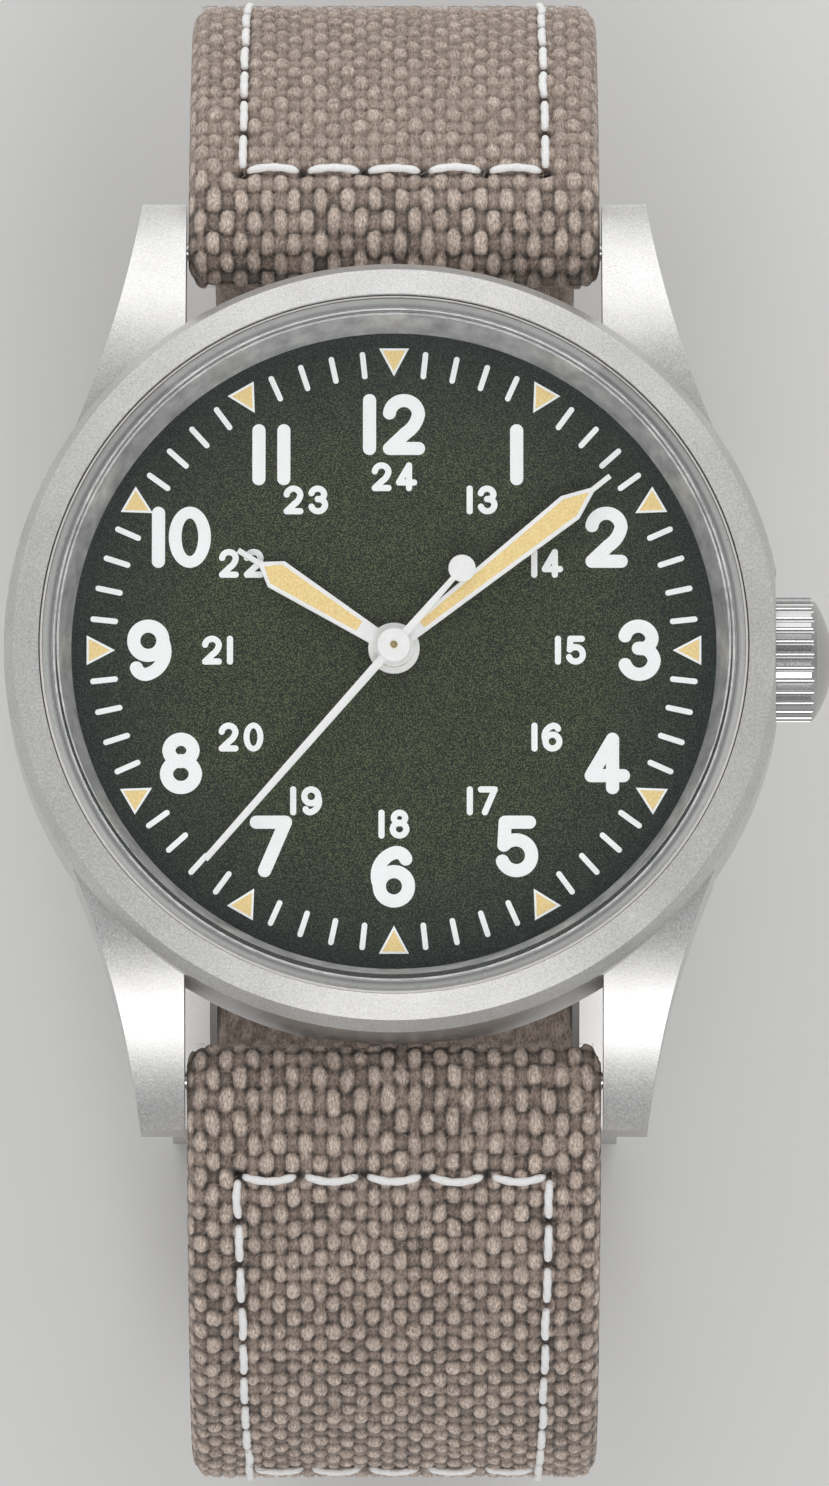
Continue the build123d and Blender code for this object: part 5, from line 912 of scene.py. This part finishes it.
first_turn = LEAVE_ANGLE - 90
upper_legs = [(upper_radius, first_turn), (SHORT_BEND, -90), (short_bend_y - BUCKLE_BAR_Y,)]
lower_legs = [
    (lower_radius, first_turn), (long_bend, -90), (long_bend_y - DIP_FROM,),
    (dip_radius, math.degrees(dip_angle)), (dip_radius, -math.degrees(dip_angle)),
    (DIP_TO + short_bend_y,), (tail_bend, -TAIL_CURL), (TAIL_PAST,),
]
buckle_bar = (BUCKLE_BAR_Y, short_level + LOOP - HALF)
upper = Half("strap_upper", 1, upper_legs, buckle_bar, plain_width, [tongue_slot], fine_to=32.0)
lower = Half("strap_lower", -1, lower_legs, None, tail_width, strap_holes + [tongue_hole], fine_to=33.0)

upper_stitches = seams(upper, near=3.85, halfway=30.0, far=upper.outer_end - 7.5,
                       near_x=7.45, halfway_x=7.2, bow=0.10)
lower_stitches = seams(lower, near=4.72, halfway=27.2, far=lower.outer_end - 9.0,
                       near_x=7.6, halfway_x=7.15, bow=0.20)
upper.build(seed=11)
lower.build(seed=53)
thread_mesh(upper, upper_stitches)
thread_mesh(lower, lower_stitches)
loose_fibres(upper, first=-3.0, last=26.0, count=1800)
loose_fibres(lower, first=-3.0, last=28.0, count=1900)


# Keepers


def keeper(node, body):
    """A woven band round both layers of the strap: its cloth and its inside."""
    wall = 1.2
    corner = 1.0
    edge_reach = 0.6
    points_round, points_across = 480, 40
    corner_points, edge_points = 16, 7
    pick_pitch = 1.3
    low, high = (np.array(end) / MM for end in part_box(node))
    half_x, half_length, half_z = (high - low) / 2
    _, mid_y, mid_z = (high + low) / 2
    corners, outs = [], []
    for side_x, side_z, first in ((1, -1, -90), (1, 1, 0), (-1, 1, 90), (-1, -1, 180)):
        out = across_and_up(np.radians(np.linspace(first, first + 90, corner_points)))
        centre = np.array([side_x * (half_x - corner), side_z * (half_z - corner)])
        corners.append(centre + corner * out)
        outs.append(out)
    ring = np.concatenate(corners + [corners[0][:1]])
    normal = np.concatenate(outs + [outs[0][:1]])
    place = lengths_along(ring)
    u = np.linspace(0, place[-1], points_round)
    ring = np.stack([np.interp(u, place, ring[:, k]) for k in (0, 1)], axis=1)
    normal = unit(np.stack([np.interp(u, place, normal[:, k]) for k in (0, 1)], axis=1))
    edge = edge_reach * (1 - np.sin(np.linspace(0, math.pi / 2, edge_points)))
    flat = np.linspace(edge_reach - half_length, half_length - edge_reach, points_across)
    y = np.concatenate([(edge - half_length)[:0:-1], flat, (half_length - edge)[1:]])
    distance = half_length - np.abs(y)
    picks = round(place[-1] / pick_pitch) * 2
    along, across = np.meshgrid(u / place[-1] * picks, y, indexing="ij")
    dent, relief, tone = weave_height(along, across, seed=31)
    weave = np.stack([relief, tone, np.zeros_like(tone)], axis=-1)
    keep = np.ones((points_round - 1, len(y) - 1), bool)
    for label, face, rough in (("cloth", 1, 0.8), ("inside", -1, 0.24)):
        outer = face > 0
        skin = ring if outer else ring - wall * normal
        sunk = np.minimum(drop(distance, wall / 2, edge_reach)[None, :] - rough * dent, wall / 2)
        points = np.stack([
            skin[:, None, 0] - face * normal[:, None, 0] * sunk,
            across + mid_y,
            skin[:, None, 1] - face * normal[:, None, 1] * sunk + mid_z,
        ], axis=-1)
        order = slice(None, None, -1 if outer else 1)
        grid_piece(f"{node}_{label}", points[:, order], weave[:, order], keep, canvas, node, body)


keeper("fixed_keeper", "watch")
keeper("free_keeper", "free_keeper")


# Floor, light and camera, in metres

scene = bpy.context.scene
floor_half = 3.0
floor_mesh = bpy.data.meshes.new("floor")
floor_corners = [(x * floor_half, y * floor_half, 0.0) for x, y in ((-1, -1), (1, -1), (1, 1), (-1, 1))]
floor_mesh.from_pydata(floor_corners, [], [(0, 1, 2, 3)])
floor_mesh.materials.append(grained("floor_paint", (0.74, 0.74, 0.73), 0.9, 0.0, 0.05, 0.0, 0.01, 0.02))
floor = bpy.data.objects.new("floor", floor_mesh)
scene.collection.objects.link(floor)

# A pale room, brightest high up and dark straight above, for the crystal and the flats to mirror
world = bpy.data.worlds.new("studio")
scene.world = world
world.use_nodes = True
tree = world.node_tree
background = tree.nodes["Background"]
coordinates = add(tree, "ShaderNodeTexCoord")
split = add(tree, "ShaderNodeSeparateXYZ")
tree.links.new(coordinates.outputs["Generated"], split.inputs[0])
room = [
    (0.0, (0.38, 0.38, 0.39)), (0.45, (0.60, 0.60, 0.61)), (0.87, grey(1)),
    (0.95, (0.62, 0.62, 0.63)), (0.985, (0.24, 0.24, 0.25)),
]
tree.links.new(ramp(tree, split.outputs["Z"], room), background.inputs["Color"])
background.inputs["Strength"].default_value = 0.85


dial_centre = Vector((0, 0, dial_level * MM))


def soft_light(name, place, size, power):
    """A rectangular light that faces the dial."""
    data = bpy.data.lights.new(name, "AREA")
    data.shape = "RECTANGLE"
    data.size, data.size_y = size
    data.energy = power
    lamp = bpy.data.objects.new(name, data)
    scene.collection.objects.link(lamp)
    lamp.location = place
    lamp.rotation_euler = (dial_centre - Vector(place)).to_track_quat("-Z", "Y").to_euler()


soft_light("back", (-0.03, 0.88, 0.42), (1.15, 0.90), 4.7)
soft_light("front", (0.05, -0.62, 0.88), (0.30, 0.50), 2.6)

elevation = math.radians(80.2)
camera_distance = 0.9
aim_right = 1.0007 * MM
aim_down = 4.4523 * MM
ahead = Vector((0, -math.cos(elevation), math.sin(elevation)))
above = Vector((0, math.sin(elevation), math.cos(elevation)))
target = dial_centre + Vector((aim_right, 0, 0)) - above * aim_down
lens = bpy.data.cameras.new("camera")
lens.lens = 447.2
lens.sensor_width = 36
lens.clip_start, lens.clip_end = 0.05, 10
camera = bpy.data.objects.new("camera", lens)
scene.collection.objects.link(camera)
camera.location = target + ahead * camera_distance
camera.rotation_euler = (-ahead).to_track_quat("-Z", "Y").to_euler()
scene.camera = camera
scene.render.resolution_x, scene.render.resolution_y = 829, 1486
scene.view_settings.view_transform = "Standard"
